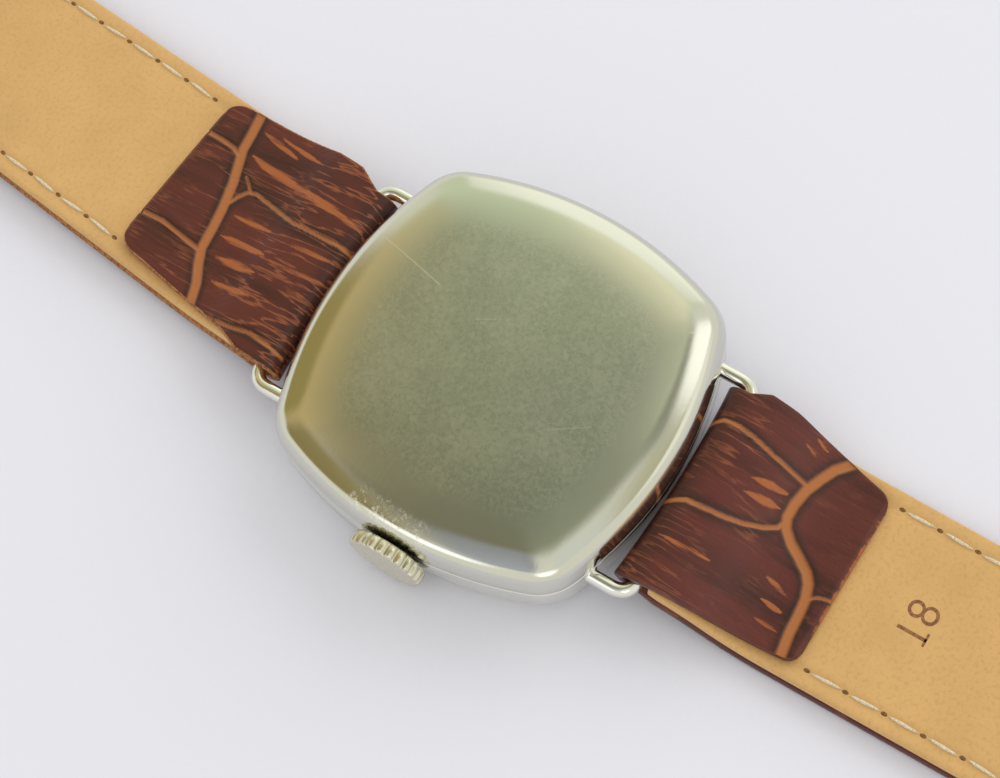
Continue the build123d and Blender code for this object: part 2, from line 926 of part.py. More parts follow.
def keeper(back):
    """A leather keeper round the strap, a given distance before the buckle's bar."""
    widening = (twelve_left + twelve_right) / 2 - twelve_end_half
    half = twelve_end_half + widening * back / (twelve_length - shoulder_run) + keeper_side_gap
    place = end_plane(0, -back)
    section = Plane(origin=place.origin, x_dir=place.x_dir, z_dir=-place.y_dir)
    with BuildPart() as band:
        with BuildSketch(section):
            with Locations((0, keeper_thickness + keeper_room / 2)):
                RectangleRounded(
                    2 * (half + keeper_thickness), keeper_room + 2 * keeper_thickness, 2 * keeper_thickness
                )
                RectangleRounded(2 * half, keeper_room, keeper_side_gap, mode=Mode.SUBTRACT)
        extrude(amount=keeper_width)
    return band


save(keeper(fixed_keeper_back), "fixed_keeper")
save(keeper(loose_keeper_back), "loose_keeper")

# Dial, with its sunk small-seconds dial at six o'clock, and the three hands


def hand(at, size, height, angle, bore):
    """A leaf-shaped hand; its size is (length, width, hub radius) and its angle is measured from +X."""
    length, width, hub = size
    with BuildPart() as piece:
        with BuildSketch(Plane.XY.offset(height)):
            with Locations(at):
                Circle(hub)
                with Locations(Location((0, 0, 0), (0, 0, angle))):
                    Polygon(
                        (0, -width / 3),
                        (length / 2, -width / 2),
                        (length, 0),
                        (length / 2, width / 2),
                        (0, width / 3),
                        align=None,
                    )
                Circle(bore, mode=Mode.SUBTRACT)
        extrude(amount=hand_thickness)
    return piece


with BuildPart() as dial:
    with BuildSketch(Plane.XY.offset(dial_z)):
        Circle(dial_radius)
        Circle(dial_hole, mode=Mode.SUBTRACT)
        with Locations((0, -seconds_y)):
            Circle(seconds_hub, mode=Mode.SUBTRACT)
    extrude(amount=dial_thickness)
    with BuildSketch(Plane.XY.offset(dial_z)):
        with Locations((0, -seconds_y)):
            Circle(seconds_dial_radius)
    extrude(amount=seconds_sink, mode=Mode.SUBTRACT)
save(dial, "dial")

fourth_at = (0, -seconds_y)
minute_size = (minute_hand_length, minute_hand_width, hand_hub)
hour_size = (hour_hand_length, hour_hand_width, hour_hub)
seconds_size = (seconds_hand_length, seconds_hand_width, seconds_hub)
save(hand((0, 0), minute_size, minute_hand_z, minute_hand_angle, cannon_radius), "minute_hand")
save(hand((0, 0), hour_size, hour_hand_z, hour_hand_angle, hour_pipe_radius), "hour_hand")
save(hand(fourth_at, seconds_size, seconds_hand_z, seconds_hand_angle, arbor_radius), "seconds_hand")

# Places of the train's arbors


def pitch_radius(teeth, module):
    """Pitch radius of a wheel or pinion."""
    return teeth * module / 2


def tip_radius(teeth, module):
    """Radius over the tips of the teeth."""
    return pitch_radius(teeth, module) + addendum_share * module


def meeting(a, reach_a, b, reach_b, side):
    """The point at two distances from two others, to the left (1) or right (-1) of the way from a to b."""
    dx, dy = b[0] - a[0], b[1] - a[1]
    gap = sqrt(dx**2 + dy**2)
    run = (reach_a**2 - reach_b**2 + gap**2) / (2 * gap)
    rise = side * sqrt(reach_a**2 - run**2)
    return (a[0] + (run * dx - rise * dy) / gap, a[1] + (run * dy + rise * dx) / gap)


def heading(a, b):
    """The direction from a to b, in degrees from +X."""
    return degrees(atan2(b[1] - a[1], b[0] - a[0]))


def distance(a, b):
    """The distance from a to b."""
    return sqrt((b[0] - a[0]) ** 2 + (b[1] - a[1]) ** 2)


def offset_point(a, angle, reach):
    """The point at a distance from a in a direction."""
    step = turned(reach, 0, angle)
    return (a[0] + step[0], a[1] + step[1])


centre_at = (0, 0)
third_at = meeting(
    centre_at,
    pitch_radius(centre_teeth + third_leaves, centre_module),
    fourth_at,
    pitch_radius(third_teeth + fourth_leaves, third_module),
    -1,
)
escape_at = offset_point(fourth_at, escape_angle, pitch_radius(fourth_teeth + escape_leaves, fourth_module))
crown_wheel_at = (-crown_wheel_x, 0)
barrel_at = meeting(
    centre_at,
    pitch_radius(barrel_teeth + centre_leaves, barrel_module),
    crown_wheel_at,
    pitch_radius(ratchet_teeth + crown_wheel_teeth, winding_module),
    -1,
)
balance_at = (balance_x, balance_y)
lever_line = heading(escape_at, balance_at)
lever_at = offset_point(escape_at, lever_line, escape_radius / cos(radians(stone_angle)))
minute_wheel_at = turned(pitch_radius(cannon_leaves + minute_teeth, cannon_module), 0, motion_angle)


def gear(teeth, module, first):
    """Corners of a gear with straight-sided teeth, the first tooth pointing in a given direction."""
    tip = tip_radius(teeth, module)
    root = pitch_radius(teeth, module) - dedendum_share * module
    step = 360 / teeth
    corners = []
    for tooth in range(teeth):
        middle = first + tooth * step
        corners.append(turned(root, 0, middle - root_half_share * step))
        corners.append(turned(tip, 0, middle - tip_half_share * step))
        corners.append(turned(tip, 0, middle + tip_half_share * step))
        corners.append(turned(root, 0, middle + root_half_share * step))
    return corners


def window(inner, outer, arms, arm):
    """Corners of one opening between a wheel's arms."""
    step = 360 / arms
    inner_half = step / 2 - degrees(arm_width / 2 / inner)
    outer_half = step / 2 - degrees(arm_width / 2 / outer)
    middle = step * (arm + 1 / 2)
    corners = [turned(inner, 0, middle + inner_half), turned(inner, 0, middle - inner_half)]
    for share in (-1, -1 / 2, 0, 1 / 2, 1):
        corners.append(turned(outer, 0, middle + share * outer_half))
    return corners


def wheel(at, teeth, module, first, height, bore, arms=4):
    """A crossed-out train wheel."""
    rim = pitch_radius(teeth, module) - dedendum_share * module - rim_width
    with BuildPart() as blank:
        with BuildSketch(Plane.XY.offset(height)):
            with Locations(at):
                Polygon(*gear(teeth, module, first), align=None)
                for arm in range(arms):
                    Polygon(*window(hub_radius, rim, arms, arm), align=None, mode=Mode.SUBTRACT)
                Circle(bore, mode=Mode.SUBTRACT)
        extrude(amount=wheel_thickness)
    return blank


def rod(at, radius, low, high):
    """A round solid on a vertical axis."""
    with BuildPart() as solid:
        with BuildSketch(Plane.XY.offset(low)):
            with Locations(at):
                Circle(radius)
        extrude(amount=high - low)
    return solid.part


def pinion(at, leaves, module, first, leaf_span, arbor_span):
    """A pinion cut on its arbor, with a pivot at each end; the spans are (low, high) heights."""
    with BuildPart() as solid:
        with BuildSketch(Plane.XY.offset(leaf_span[0])):
            with Locations(at):
                Polygon(*gear(leaves, module, first), align=None)
        extrude(amount=leaf_span[1] - leaf_span[0])
        add(rod(at, arbor_radius, arbor_span[0], arbor_span[1]))
        add(rod(at, pivot_radius, arbor_span[0] - pivot_length, arbor_span[1] + pivot_length))
    return solid


def gap_facing(leaves, direction):
    """First-tooth direction that leaves a gap of a pinion facing a direction."""
    return direction + 180 / leaves


# Going train, each wheel with a tooth on the line of centres and each pinion with a gap there

train_top = train_bridge_z - bridge_gap
to_barrel = heading(centre_at, barrel_at)
to_third = heading(centre_at, third_at)
third_to_fourth = heading(third_at, fourth_at)
fourth_to_escape = heading(fourth_at, escape_at)

save(
    wheel(centre_at, centre_teeth, centre_module, to_third, centre_wheel_z, centre_arbor_radius),
    "centre_wheel",
)

with BuildPart() as centre_pinion:
    with BuildSketch(Plane.XY.offset(centre_bore_top + bridge_gap)):
        Polygon(*gear(centre_leaves, barrel_module, gap_facing(centre_leaves, to_barrel)), align=None)
    extrude(amount=recess_z - centre_bore_top - 2 * bridge_gap)
    add(rod(centre_at, centre_arbor_radius, centre_post_z, train_top))
    add(rod(centre_at, pivot_radius, train_top, train_top + pivot_length))
save(centre_pinion, "centre_pinion")

save(wheel(third_at, third_teeth, third_module, third_to_fourth, third_wheel_z, arbor_radius), "third_wheel")
third_low = recess_z + bridge_gap
save(
    pinion(
        third_at,
        third_leaves,
        centre_module,
        gap_facing(third_leaves, to_third + 180),
        (third_low, plate_top_z),
        (third_low, train_top),
    ),
    "third_pinion",
)

save(
    wheel(fourth_at, fourth_teeth, fourth_module, fourth_to_escape, fourth_wheel_z, arbor_radius),
    "fourth_wheel",
)
arbor_low = plate_top_z + bridge_gap
with BuildPart() as fourth_pinion:
    add(
        pinion(
            fourth_at,
            fourth_leaves,
            third_module,
            gap_facing(fourth_leaves, third_to_fourth + 180),
            (arbor_low, third_wheel_z + wheel_thickness + bridge_gap),
            (arbor_low, train_top),
        ).part
    )
    add(rod(fourth_at, arbor_radius, seconds_hand_z, arbor_low))
save(fourth_pinion, "fourth_pinion")

save(
    pinion(
        escape_at,
        escape_leaves,
        fourth_module,
        gap_facing(escape_leaves, fourth_to_escape + 180),
        (fourth_wheel_z - bridge_gap, train_top - bridge_gap),
        (arbor_low, train_top),
    ),
    "escape_pinion",
)

with BuildPart() as escape_wheel:
    escape_corners = []
    escape_step = 360 / escape_teeth
    for tooth in range(escape_teeth):
        lead = tooth * escape_step
        escape_corners.append(turned(escape_root, 0, lead))
        escape_corners.append(turned(escape_radius, 0, lead + escape_step * escape_heel_share))
        escape_corners.append(turned(escape_radius, 0, lead + escape_step * escape_toe_share))
    with BuildSketch(Plane.XY.offset(escape_wheel_z)):
        with Locations(escape_at):
            Polygon(*escape_corners, align=None)
            for arm in range(4):
                opening = window(hub_radius / 2, escape_root - rim_width / 2, 4, arm)
                Polygon(*opening, align=None, mode=Mode.SUBTRACT)
            Circle(arbor_radius, mode=Mode.SUBTRACT)
    extrude(amount=wheel_thickness)
save(escape_wheel, "escape_wheel")

# Barrel: toothed drum, snapped cover, and the mainspring inside


def spiral(inner, pitch, turns, points, strip):
    """Corners of a flat spiral strip, out along its inner side and back along its outer side."""
    steps = turns * points
    inside = [turned(inner + pitch * n / points, 0, 360 * n / points) for n in range(steps + 1)]
    outside = [turned(inner + strip + pitch * n / points, 0, 360 * n / points) for n in range(steps + 1)]
    return inside + outside[::-1]


drum_radius = pitch_radius(barrel_teeth, barrel_module) - dedendum_share * barrel_module
cavity_radius = drum_radius - barrel_wall
cover_z = barrel_top_z - barrel_cover

with BuildPart() as barrel_drum:
    with BuildSketch(Plane.XY.offset(barrel_z)):
        with Locations(barrel_at):
            Circle(drum_radius)
    extrude(amount=barrel_top_z - barrel_z)
    with BuildSketch(Plane.XY.offset(barrel_teeth_z)):
        with Locations(barrel_at):
            Polygon(*gear(barrel_teeth, barrel_module, to_barrel + 180), align=None)
    extrude(amount=barrel_teeth_height)
    with BuildSketch(Plane.XY.offset(barrel_z + barrel_cover)):
        with Locations(barrel_at):
            Circle(cavity_radius)
    extrude(amount=barrel_top_z - barrel_z, mode=Mode.SUBTRACT)
    with BuildSketch(Plane.XY.offset(barrel_z)):
        with Locations(barrel_at):
            Circle(barrel_arbor_radius + pivot_clearance)
    extrude(amount=barrel_cover, mode=Mode.SUBTRACT)
save(barrel_drum, "barrel_drum")

with BuildPart() as barrel_lid:
    with BuildSketch(Plane.XY.offset(cover_z)):
        with Locations(barrel_at):
            Circle(cavity_radius)
            Circle(barrel_arbor_radius + pivot_clearance, mode=Mode.SUBTRACT)
    extrude(amount=barrel_cover)
save(barrel_lid, "barrel_lid")

mainspring_room = cavity_radius - barrel_arbor_radius - barrel_wall - mainspring_strip

with BuildPart() as mainspring:
    with BuildSketch(Plane.XY.offset(barrel_z + barrel_cover + bridge_gap / 2)):
        with Locations(barrel_at):
            Polygon(
                *spiral(
                    barrel_arbor_radius + barrel_wall / 2,
                    mainspring_room / mainspring_turn_count,
                    mainspring_turn_count,
                    mainspring_facet_count,
                    mainspring_strip,
                ),
                align=None,
            )
    extrude(amount=cover_z - barrel_z - barrel_cover - bridge_gap)
save(mainspring, "mainspring")

# Winding work: winding and sliding pinions on the stem, crown wheel, ratchet wheel, click

crown_wheel_first = gap_facing(crown_wheel_teeth, heading(crown_wheel_at, barrel_at))
crown_wheel_step = 360 / crown_wheel_teeth
gap_near_stem = (180 - crown_wheel_first - crown_wheel_step / 2) % crown_wheel_step
mesh_y = crown_wheel_teeth * winding_module / 2 * sin(radians(gap_near_stem))
winding_pitch = pitch_radius(winding_leaves, winding_module)

winding_points = []
winding_step = 360 / winding_leaves
for leaf in range(winding_leaves):
    middle = 90 - degrees(mesh_y / winding_pitch) + leaf * winding_step
    winding_points.append(turned(winding_pinion_root, 0, middle - root_half_share * winding_step * 3 / 4))
    winding_points.append(turned(winding_pinion_tip, 0, middle - tip_half_share * winding_step))
    winding_points.append(turned(winding_pinion_tip, 0, middle + tip_half_share * winding_step))
    winding_points.append(turned(winding_pinion_root, 0, middle + root_half_share * winding_step * 3 / 4))

with BuildPart() as winding_pinion:
    with BuildSketch(Plane.YZ.offset(-winding_pinion_x)):
        with Locations((0, crown_z)):
            Polygon(*winding_points, align=None)
    extrude(amount=winding_pinion_length / 2)
    with BuildSketch(Plane.YZ.offset(-winding_pinion_x)):
        with Locations((0, crown_z)):
            Circle(winding_pinion_root)
    extrude(amount=winding_pinion_length)
    with BuildSketch(Plane.YZ.offset(-winding_pinion_x)):
        with Locations((0, crown_z)):
            Circle(stem_radius + stem_fit)
    extrude(amount=winding_pinion_length, mode=Mode.SUBTRACT)
save(winding_pinion, "winding_pinion")

with BuildPart() as sliding_pinion:
    with BuildSketch(Plane.YZ.offset(-sliding_x)):
        with Locations((0, crown_z)):
            Circle(sliding_pinion_radius)
    extrude(amount=sliding_pinion_length)
    with BuildSketch(Plane.YZ.offset(-sliding_x + sliding_pinion_length / 3)):
        with Locations((0, crown_z)):
            Circle(sliding_pinion_radius)
            Circle(sliding_pinion_radius - sliding_groove, mode=Mode.SUBTRACT)
    extrude(amount=sliding_pinion_length / 3, mode=Mode.SUBTRACT)
    with BuildSketch(Plane.YZ.offset(-sliding_x)):
        with Locations((0, crown_z)):
            Rectangle(stem_square + 2 * stem_fit, stem_square + 2 * stem_fit)
    extrude(amount=sliding_pinion_length, mode=Mode.SUBTRACT)
save(sliding_pinion, "sliding_pinion")

pin_x = groove_width / 2 - groove_x

with BuildPart() as setting_lever:
    with BuildSketch(Plane.XY.offset(setting_lever_z)):
        with Locations((pin_x, 0)):
            Circle(setting_pin + pivot_clearance * 4)
        Polygon(
            (pin_x - setting_pin, 0),
            (pin_x - setting_pin / 2, -stem_slot),
            (-winding_pinion_x, -stem_slot - 3 * setting_pin),
            (-crown_wheel_x, -stem_slot - 3 * setting_pin),
            (-crown_wheel_x, -stem_slot + setting_pin),
            (pin_x + 3 * setting_pin, -stem_slot + 4 * setting_pin),
            (pin_x + setting_pin, 0),
            align=None,
        )
    extrude(amount=plate_z - setting_lever_z - 2 * bridge_gap)
    add(rod((pin_x, 0), setting_pin, setting_lever_z, crown_z - stem_radius + bridge_gap))
save(setting_lever, "setting_lever")

with BuildPart() as crown_wheel:
    with BuildSketch(Plane.XY.offset(crown_wheel_z)):
        with Locations(crown_wheel_at):
            Polygon(*gear(crown_wheel_teeth, winding_module, crown_wheel_first), align=None)
            Circle(crown_wheel_bore, mode=Mode.SUBTRACT)
    extrude(amount=winding_wheel_top_z - crown_wheel_z)
save(crown_wheel, "crown_wheel")

with BuildPart() as ratchet_wheel:
    with BuildSketch(Plane.XY.offset(ratchet_z)):
        with Locations(barrel_at):
            Polygon(*gear(ratchet_teeth, winding_module, heading(barrel_at, crown_wheel_at)), align=None)
            Circle(barrel_arbor_radius, mode=Mode.SUBTRACT)
    extrude(amount=winding_wheel_top_z - ratchet_z)
save(ratchet_wheel, "ratchet_wheel")

with BuildPart() as barrel_arbor:
    add(rod(barrel_at, barrel_arbor_radius, barrel_z, winding_wheel_top_z))
    add(rod(barrel_at, screw_shank, ratchet_floor_z, winding_wheel_top_z), mode=Mode.SUBTRACT)
save(barrel_arbor, "barrel_arbor")


def screw(at, top, head, low, slot_angle):
    """A slotted cheese-head screw; top is the height of the surface that its head rests on."""
    with BuildPart() as solid:
        add(rod(at, screw_shank, low, top))
        add(rod(at, head, top, top + winding_screw_head))
        with BuildSketch(Plane.XY.offset(top + winding_screw_head)):
            with Locations(Location((at[0], at[1], 0), (0, 0, slot_angle))):
                Rectangle(2 * head + overrun, head / 4)
        extrude(amount=-winding_screw_head / 2, mode=Mode.SUBTRACT)
    return solid.part


crown_seat_z = winding_wheel_top_z + bridge_gap

with BuildPart() as ratchet_screw:
    add(screw(barrel_at, winding_wheel_top_z, ratchet_screw_head, ratchet_z, ratchet_screw_slot))
save(ratchet_screw, "ratchet_screw")

with BuildPart() as crown_wheel_screw:
    add(screw(crown_wheel_at, crown_seat_z, crown_screw_head, crown_wheel_z, crown_screw_slot))
save(crown_wheel_screw, "crown_wheel_screw")

click_stop = tip_radius(ratchet_teeth, winding_module) + click_clearance
click_line = heading(click_at, barrel_at)

with BuildPart() as click:
    with BuildSketch(Plane.XY.offset(ratchet_z)):
        with Locations(click_at):
            Circle(click_hub)
            Circle(screw_shank + pivot_clearance, mode=Mode.SUBTRACT)
        beak = offset_point(click_at, click_line, distance(click_at, barrel_at) - click_stop)
        left = offset_point(click_at, click_line + click_cheek, click_hub)
        right = offset_point(click_at, click_line - click_cheek, click_hub)
        inner_left = offset_point(click_at, click_line + click_root, screw_shank * 2)
        inner_right = offset_point(click_at, click_line - click_root, screw_shank * 2)
        Polygon(left, beak, right, inner_right, inner_left, align=None)
    extrude(amount=winding_wheel_top_z - ratchet_z - bridge_gap)
save(click, "click")

barrel_bridge_edge = [(x * bridge_radius, y * bridge_radius) for x, y in barrel_bridge_shares]
train_bridge_edge = [(x * bridge_radius, y * bridge_radius) for x, y in train_bridge_shares]
spring_outer = spring_inner + spring_turn_count * spring_pitch + spring_strip

# Main plate: recessed for the train, open for the barrel and the winding work

with BuildPart() as main_plate:
    with BuildSketch(Plane.XY.offset(plate_z)):
        Circle(movement_radius)
    extrude(amount=plate_top_z - plate_z)
    with BuildSketch(Plane.XY.offset(plate_z)):
        Circle(movement_radius)
        Circle(movement_radius - plate_rim, mode=Mode.SUBTRACT)
        with Locations((-movement_radius, 0)):
            Rectangle(4 * plate_rim, 3 * stem_slot, mode=Mode.SUBTRACT)
    extrude(amount=dial_z + dial_thickness + bridge_gap - plate_z)
    with BuildSketch(Plane.XY.offset(recess_z)):
        Circle(tip_radius(centre_teeth, centre_module) + pocket_clearance)
        with Locations(third_at):
            Circle(tip_radius(third_leaves, centre_module) + pocket_clearance)
    extrude(amount=plate_top_z - recess_z, mode=Mode.SUBTRACT)
    with BuildSketch(Plane.XY.offset(centre_bore_top)):
        Circle(tip_radius(centre_leaves, barrel_module) + pocket_clearance)
    extrude(amount=plate_top_z - centre_bore_top, mode=Mode.SUBTRACT)
    with BuildSketch(Plane.XY.offset(dial_z)):
        Circle(centre_arbor_radius + pivot_clearance)
        with Locations(fourth_at):
            Circle(arbor_radius + pivot_clearance)
        with Locations(barrel_at):
            Circle(tip_radius(barrel_teeth, barrel_module) + pocket_clearance)
        with Locations((-(movement_radius + stem_slot_end) / 2, 0)):
            Rectangle(movement_radius - stem_slot_end, stem_slot)
    extrude(amount=plate_top_z - dial_z, mode=Mode.SUBTRACT)
    with BuildSketch(Plane.YZ.offset(-stem_slot_end)):
        with Locations((0, crown_z)):
            Circle(stem_pivot + pivot_clearance)
    extrude(amount=stem_slot_end - stem_end + bridge_gap, mode=Mode.SUBTRACT)
    with BuildSketch(Plane.XY.offset(plate_top_z - 2 * pivot_length)):
        with Locations(escape_at, lever_at, balance_at):
            Circle(pivot_radius + pivot_clearance)
    extrude(amount=2 * pivot_length, mode=Mode.SUBTRACT)
    with BuildSketch(Plane.XY.offset(recess_z - 2 * pivot_length)):
        with Locations(third_at):
            Circle(pivot_radius + pivot_clearance)
    extrude(amount=2 * pivot_length, mode=Mode.SUBTRACT)
    with BuildSketch(Plane.XY.offset(screw_low_z)):
        with Locations(*barrel_bridge_screws, *train_bridge_screws, cock_screw_at, pallet_screw_at):
            Circle(screw_shank + pivot_clearance)
    extrude(amount=plate_top_z - screw_low_z, mode=Mode.SUBTRACT)
    with BuildSketch(Plane.XY.offset(minute_post_z)):
        with Locations(minute_wheel_at):
            Circle(arbor_radius)
    extrude(amount=plate_z - minute_post_z + bridge_gap)
save(main_plate, "main_plate")

# Barrel bridge, with sunk seats for the crown wheel, the ratchet wheel and the click

with BuildPart() as barrel_bridge:
    with BuildSketch(Plane.XY.offset(plate_top_z + bridge_gap)):
        Circle(bridge_radius)
        Polygon(*barrel_bridge_edge, align=None, mode=Mode.INTERSECT)
        with Locations(third_at):
            Circle(tip_radius(third_teeth, third_module) + pocket_clearance, mode=Mode.SUBTRACT)
    extrude(amount=bridge_top_z - plate_top_z - bridge_gap)
    with BuildSketch(Plane.XY.offset(ratchet_floor_z)):
        with Locations(barrel_at):
            Circle(tip_radius(ratchet_teeth, winding_module) + pocket_clearance)
        with Locations(click_at):
            Circle(click_pocket)
    extrude(amount=bridge_top_z, mode=Mode.SUBTRACT)
    with BuildSketch(Plane.XY.offset(crown_wheel_floor_z)):
        with Locations(crown_wheel_at):
            Circle(tip_radius(crown_wheel_teeth, winding_module) + pocket_clearance)
    extrude(amount=bridge_top_z, mode=Mode.SUBTRACT)
    with BuildSketch(Plane.XY.offset(plate_top_z)):
        with Locations(barrel_at):
            Circle(barrel_arbor_radius + pivot_clearance)
        with Locations(*barrel_bridge_screws):
            Circle(screw_shank + pivot_clearance)
        with Locations((-winding_pinion_x + winding_pinion_length / 2, 0)):
            Rectangle(winding_pinion_length + 2 * pocket_clearance, stem_slot)
    extrude(amount=bridge_top_z, mode=Mode.SUBTRACT)
    add(rod(crown_wheel_at, crown_wheel_bore - pivot_clearance, crown_wheel_floor_z, crown_seat_z))
    add(rod(click_at, screw_shank, ratchet_floor_z, winding_wheel_top_z - bridge_gap))
    with BuildSketch(Plane.XY.offset(crown_wheel_floor_z)):
        with Locations(crown_wheel_at):
            Circle(screw_shank)
    extrude(amount=bridge_top_z, mode=Mode.SUBTRACT)
save(barrel_bridge, "barrel_bridge")

with BuildPart() as click_spring:
    with BuildSketch(Plane.XY.offset(ratchet_z)):
        with Locations(click_at):
            Circle(click_pocket - pivot_clearance)
            Circle(click_pocket - spring_blade, mode=Mode.SUBTRACT)
            with Locations(Location((0, 0, 0), (0, 0, click_line))):
                with Locations((click_pocket / 2, 0)):
                    Rectangle(2 * click_pocket, 4 * click_pocket, mode=Mode.SUBTRACT)
    extrude(amount=winding_wheel_top_z - ratchet_z - bridge_gap)
save(click_spring, "click_spring")

# Train bridge on its foot at the rim, the pallet cock and the balance cock


def rim_sector(inner, outer, start, end):
    """Corners of a piece of the movement's rim between two directions."""
    directions = [start + (end - start) * n / rim_facet_count for n in range(rim_facet_count + 1)]
    return [turned(outer, 0, at) for at in directions] + [turned(inner, 0, at) for at in directions[::-1]]


with BuildPart() as train_bridge:
    with BuildSketch(Plane.XY.offset(train_bridge_z)):
        Circle(bridge_radius)
        Polygon(*train_bridge_edge, align=None, mode=Mode.INTERSECT)
        with Locations(crown_wheel_at):
            Circle(tip_radius(crown_wheel_teeth, winding_module) + 4 * pocket_clearance, mode=Mode.SUBTRACT)
        with Locations(barrel_at):
            Circle(tip_radius(ratchet_teeth, winding_module) + pocket_clearance, mode=Mode.SUBTRACT)
    extrude(amount=bridge_top_z - train_bridge_z)
    with BuildSketch(Plane.XY.offset(plate_top_z)):
        foot = rim_sector(bridge_foot_radius, bridge_radius, bridge_foot_start, bridge_foot_end)
        Polygon(*foot, align=None)
    extrude(amount=train_bridge_z - plate_top_z)
    with BuildSketch(Plane.XY.offset(train_bridge_z)):
        with Locations(centre_at, third_at, fourth_at, escape_at):
            Circle(jewel_radius)
    extrude(amount=bridge_top_z - train_bridge_z, mode=Mode.SUBTRACT)
    with BuildSketch(Plane.XY.offset(plate_top_z)):
        with Locations(*train_bridge_screws):
            Circle(screw_shank + pivot_clearance)
    extrude(amount=bridge_top_z - plate_top_z, mode=Mode.SUBTRACT)
save(train_bridge, "train_bridge")


def jewel(at, low, high):
    """A pierced bearing jewel with a sunk oil cup on top."""
    with BuildPart() as stone:
        add(rod(at, jewel_radius, low, high))
        add(rod(at, pivot_radius + pivot_clearance, low, high), mode=Mode.SUBTRACT)
        with BuildSketch(Plane.XY.offset(high - pivot_length)):
            with Locations(at):
                Circle(jewel_radius * 2 / 3)
        extrude(amount=pivot_length, mode=Mode.SUBTRACT)
    return stone.part


with BuildPart() as bearing_jewels:
    for arbor in (centre_at, third_at, fourth_at, escape_at):
        add(jewel(arbor, train_bridge_z, bridge_top_z))
    add(jewel(balance_at, cock_z, cock_top_z))
save(bearing_jewels, "bearing_jewels")

lever_axis = heading(lever_at, escape_at)

with BuildPart() as pallet_cock:
    with BuildSketch(Plane.XY.offset(pallet_cock_z)):
        with Locations(lever_at, pallet_screw_at):
            Circle(pallet_cock_half)
        with BuildLine():
            Polyline(
                offset_point(lever_at, heading(lever_at, pallet_screw_at) + 90, pallet_cock_half),
                offset_point(lever_at, heading(lever_at, pallet_screw_at) - 90, pallet_cock_half),
                offset_point(pallet_screw_at, heading(lever_at, pallet_screw_at) - 90, pallet_cock_half),
                offset_point(pallet_screw_at, heading(lever_at, pallet_screw_at) + 90, pallet_cock_half),
                close=True,
            )
        make_face()
    extrude(amount=pallet_cock_top - pallet_cock_z)
    add(rod(pallet_screw_at, pallet_cock_half, plate_top_z, pallet_cock_z))
    add(rod(lever_at, pivot_radius + pivot_clearance, pallet_cock_z, pallet_cock_top), mode=Mode.SUBTRACT)
    add(rod(pallet_screw_at, screw_shank + pivot_clearance, plate_top_z, pallet_cock_top), mode=Mode.SUBTRACT)
save(pallet_cock, "pallet_cock")

cock_line = heading(cock_screw_at, balance_at)

with BuildPart() as balance_cock:
    with BuildSketch(Plane.XY.offset(cock_z)):
        with Locations(balance_at):
            Circle(cock_table)
        Polygon(
            offset_point(balance_at, cock_line + 90, cock_table),
            offset_point(balance_at, cock_line - 90, cock_table),
            offset_point(cock_screw_at, cock_line - 90, cock_half),
            offset_point(cock_screw_at, cock_line + 90, cock_half),
            align=None,
        )
        with Locations(cock_screw_at):
            Circle(cock_half)
        Circle(bridge_radius, mode=Mode.INTERSECT)
    extrude(amount=cock_top_z - cock_z)
    with BuildSketch(Plane.XY.offset(plate_top_z)):
        with Locations(cock_screw_at):
            Circle(cock_half)
        Circle(bridge_radius, mode=Mode.INTERSECT)
        with Locations(balance_at):
            Circle(balance_radius + 2 * pocket_clearance, mode=Mode.SUBTRACT)
    extrude(amount=cock_z - plate_top_z)
    add(rod(balance_at, jewel_radius, cock_z, cock_top_z), mode=Mode.SUBTRACT)
    add(rod(cock_screw_at, screw_shank + pivot_clearance, plate_top_z, cock_top_z), mode=Mode.SUBTRACT)
    stud_orbit = spring_outer + stud_radius + pocket_clearance
    stud_at = offset_point(balance_at, cock_line + 180 - stud_angle, stud_orbit)
    add(rod(stud_at, stud_radius, spring_z, cock_z))
save(balance_cock, "balance_cock")

with BuildPart() as regulator:
    with BuildSketch(Plane.XY.offset(cock_top_z + bridge_gap)):
        with Locations(balance_at):
            Circle(regulator_ring)
            with Locations(Location((0, 0, 0), (0, 0, cock_line + 180))):
                Polygon(
                    (0, regulator_arm),
                    (regulator_reach, regulator_arm / 3),
                    (regulator_reach, -regulator_arm / 3),
                    (0, -regulator_arm),
                    align=None,
                )
            Circle(jewel_radius + pivot_clearance, mode=Mode.SUBTRACT)
    extrude(amount=regulator_thickness)
save(regulator, "regulator")

with BuildPart() as bridge_screws:
    for at, slot in zip((*barrel_bridge_screws, *train_bridge_screws), bridge_screw_slots):
        add(screw(at, bridge_top_z, screw_head, screw_low_z, slot))
    add(screw(cock_screw_at, cock_top_z, screw_head, screw_low_z, cock_screw_slot))
    add(screw(pallet_screw_at, pallet_cock_top, small_screw_head, screw_low_z, pallet_screw_slot))
save(bridge_screws, "bridge_screws")

# Lever with its two stones; the escape wheel lies along its own +x

stone_gap = distance(lever_at, escape_at)
stone_x = stone_gap - stone_orbit * cos(radians(stone_angle))
stone_y = stone_orbit * sin(radians(stone_angle))


def stones():
    """The two pallet stones seen from above, in the lever's own axes."""
    with BuildSketch(Plane.XY) as slabs:
        for side in (-1, 1):
            with Locations(Location((stone_x, side * stone_y, 0), (0, 0, 180 - side * stone_angle))):
                Rectangle(stone_length, stone_width, align=(Align.MIN, Align.CENTER))
    return slabs.sketch


lever_place = Location((lever_at[0], lever_at[1], lever_z), (0, 0, lever_axis))

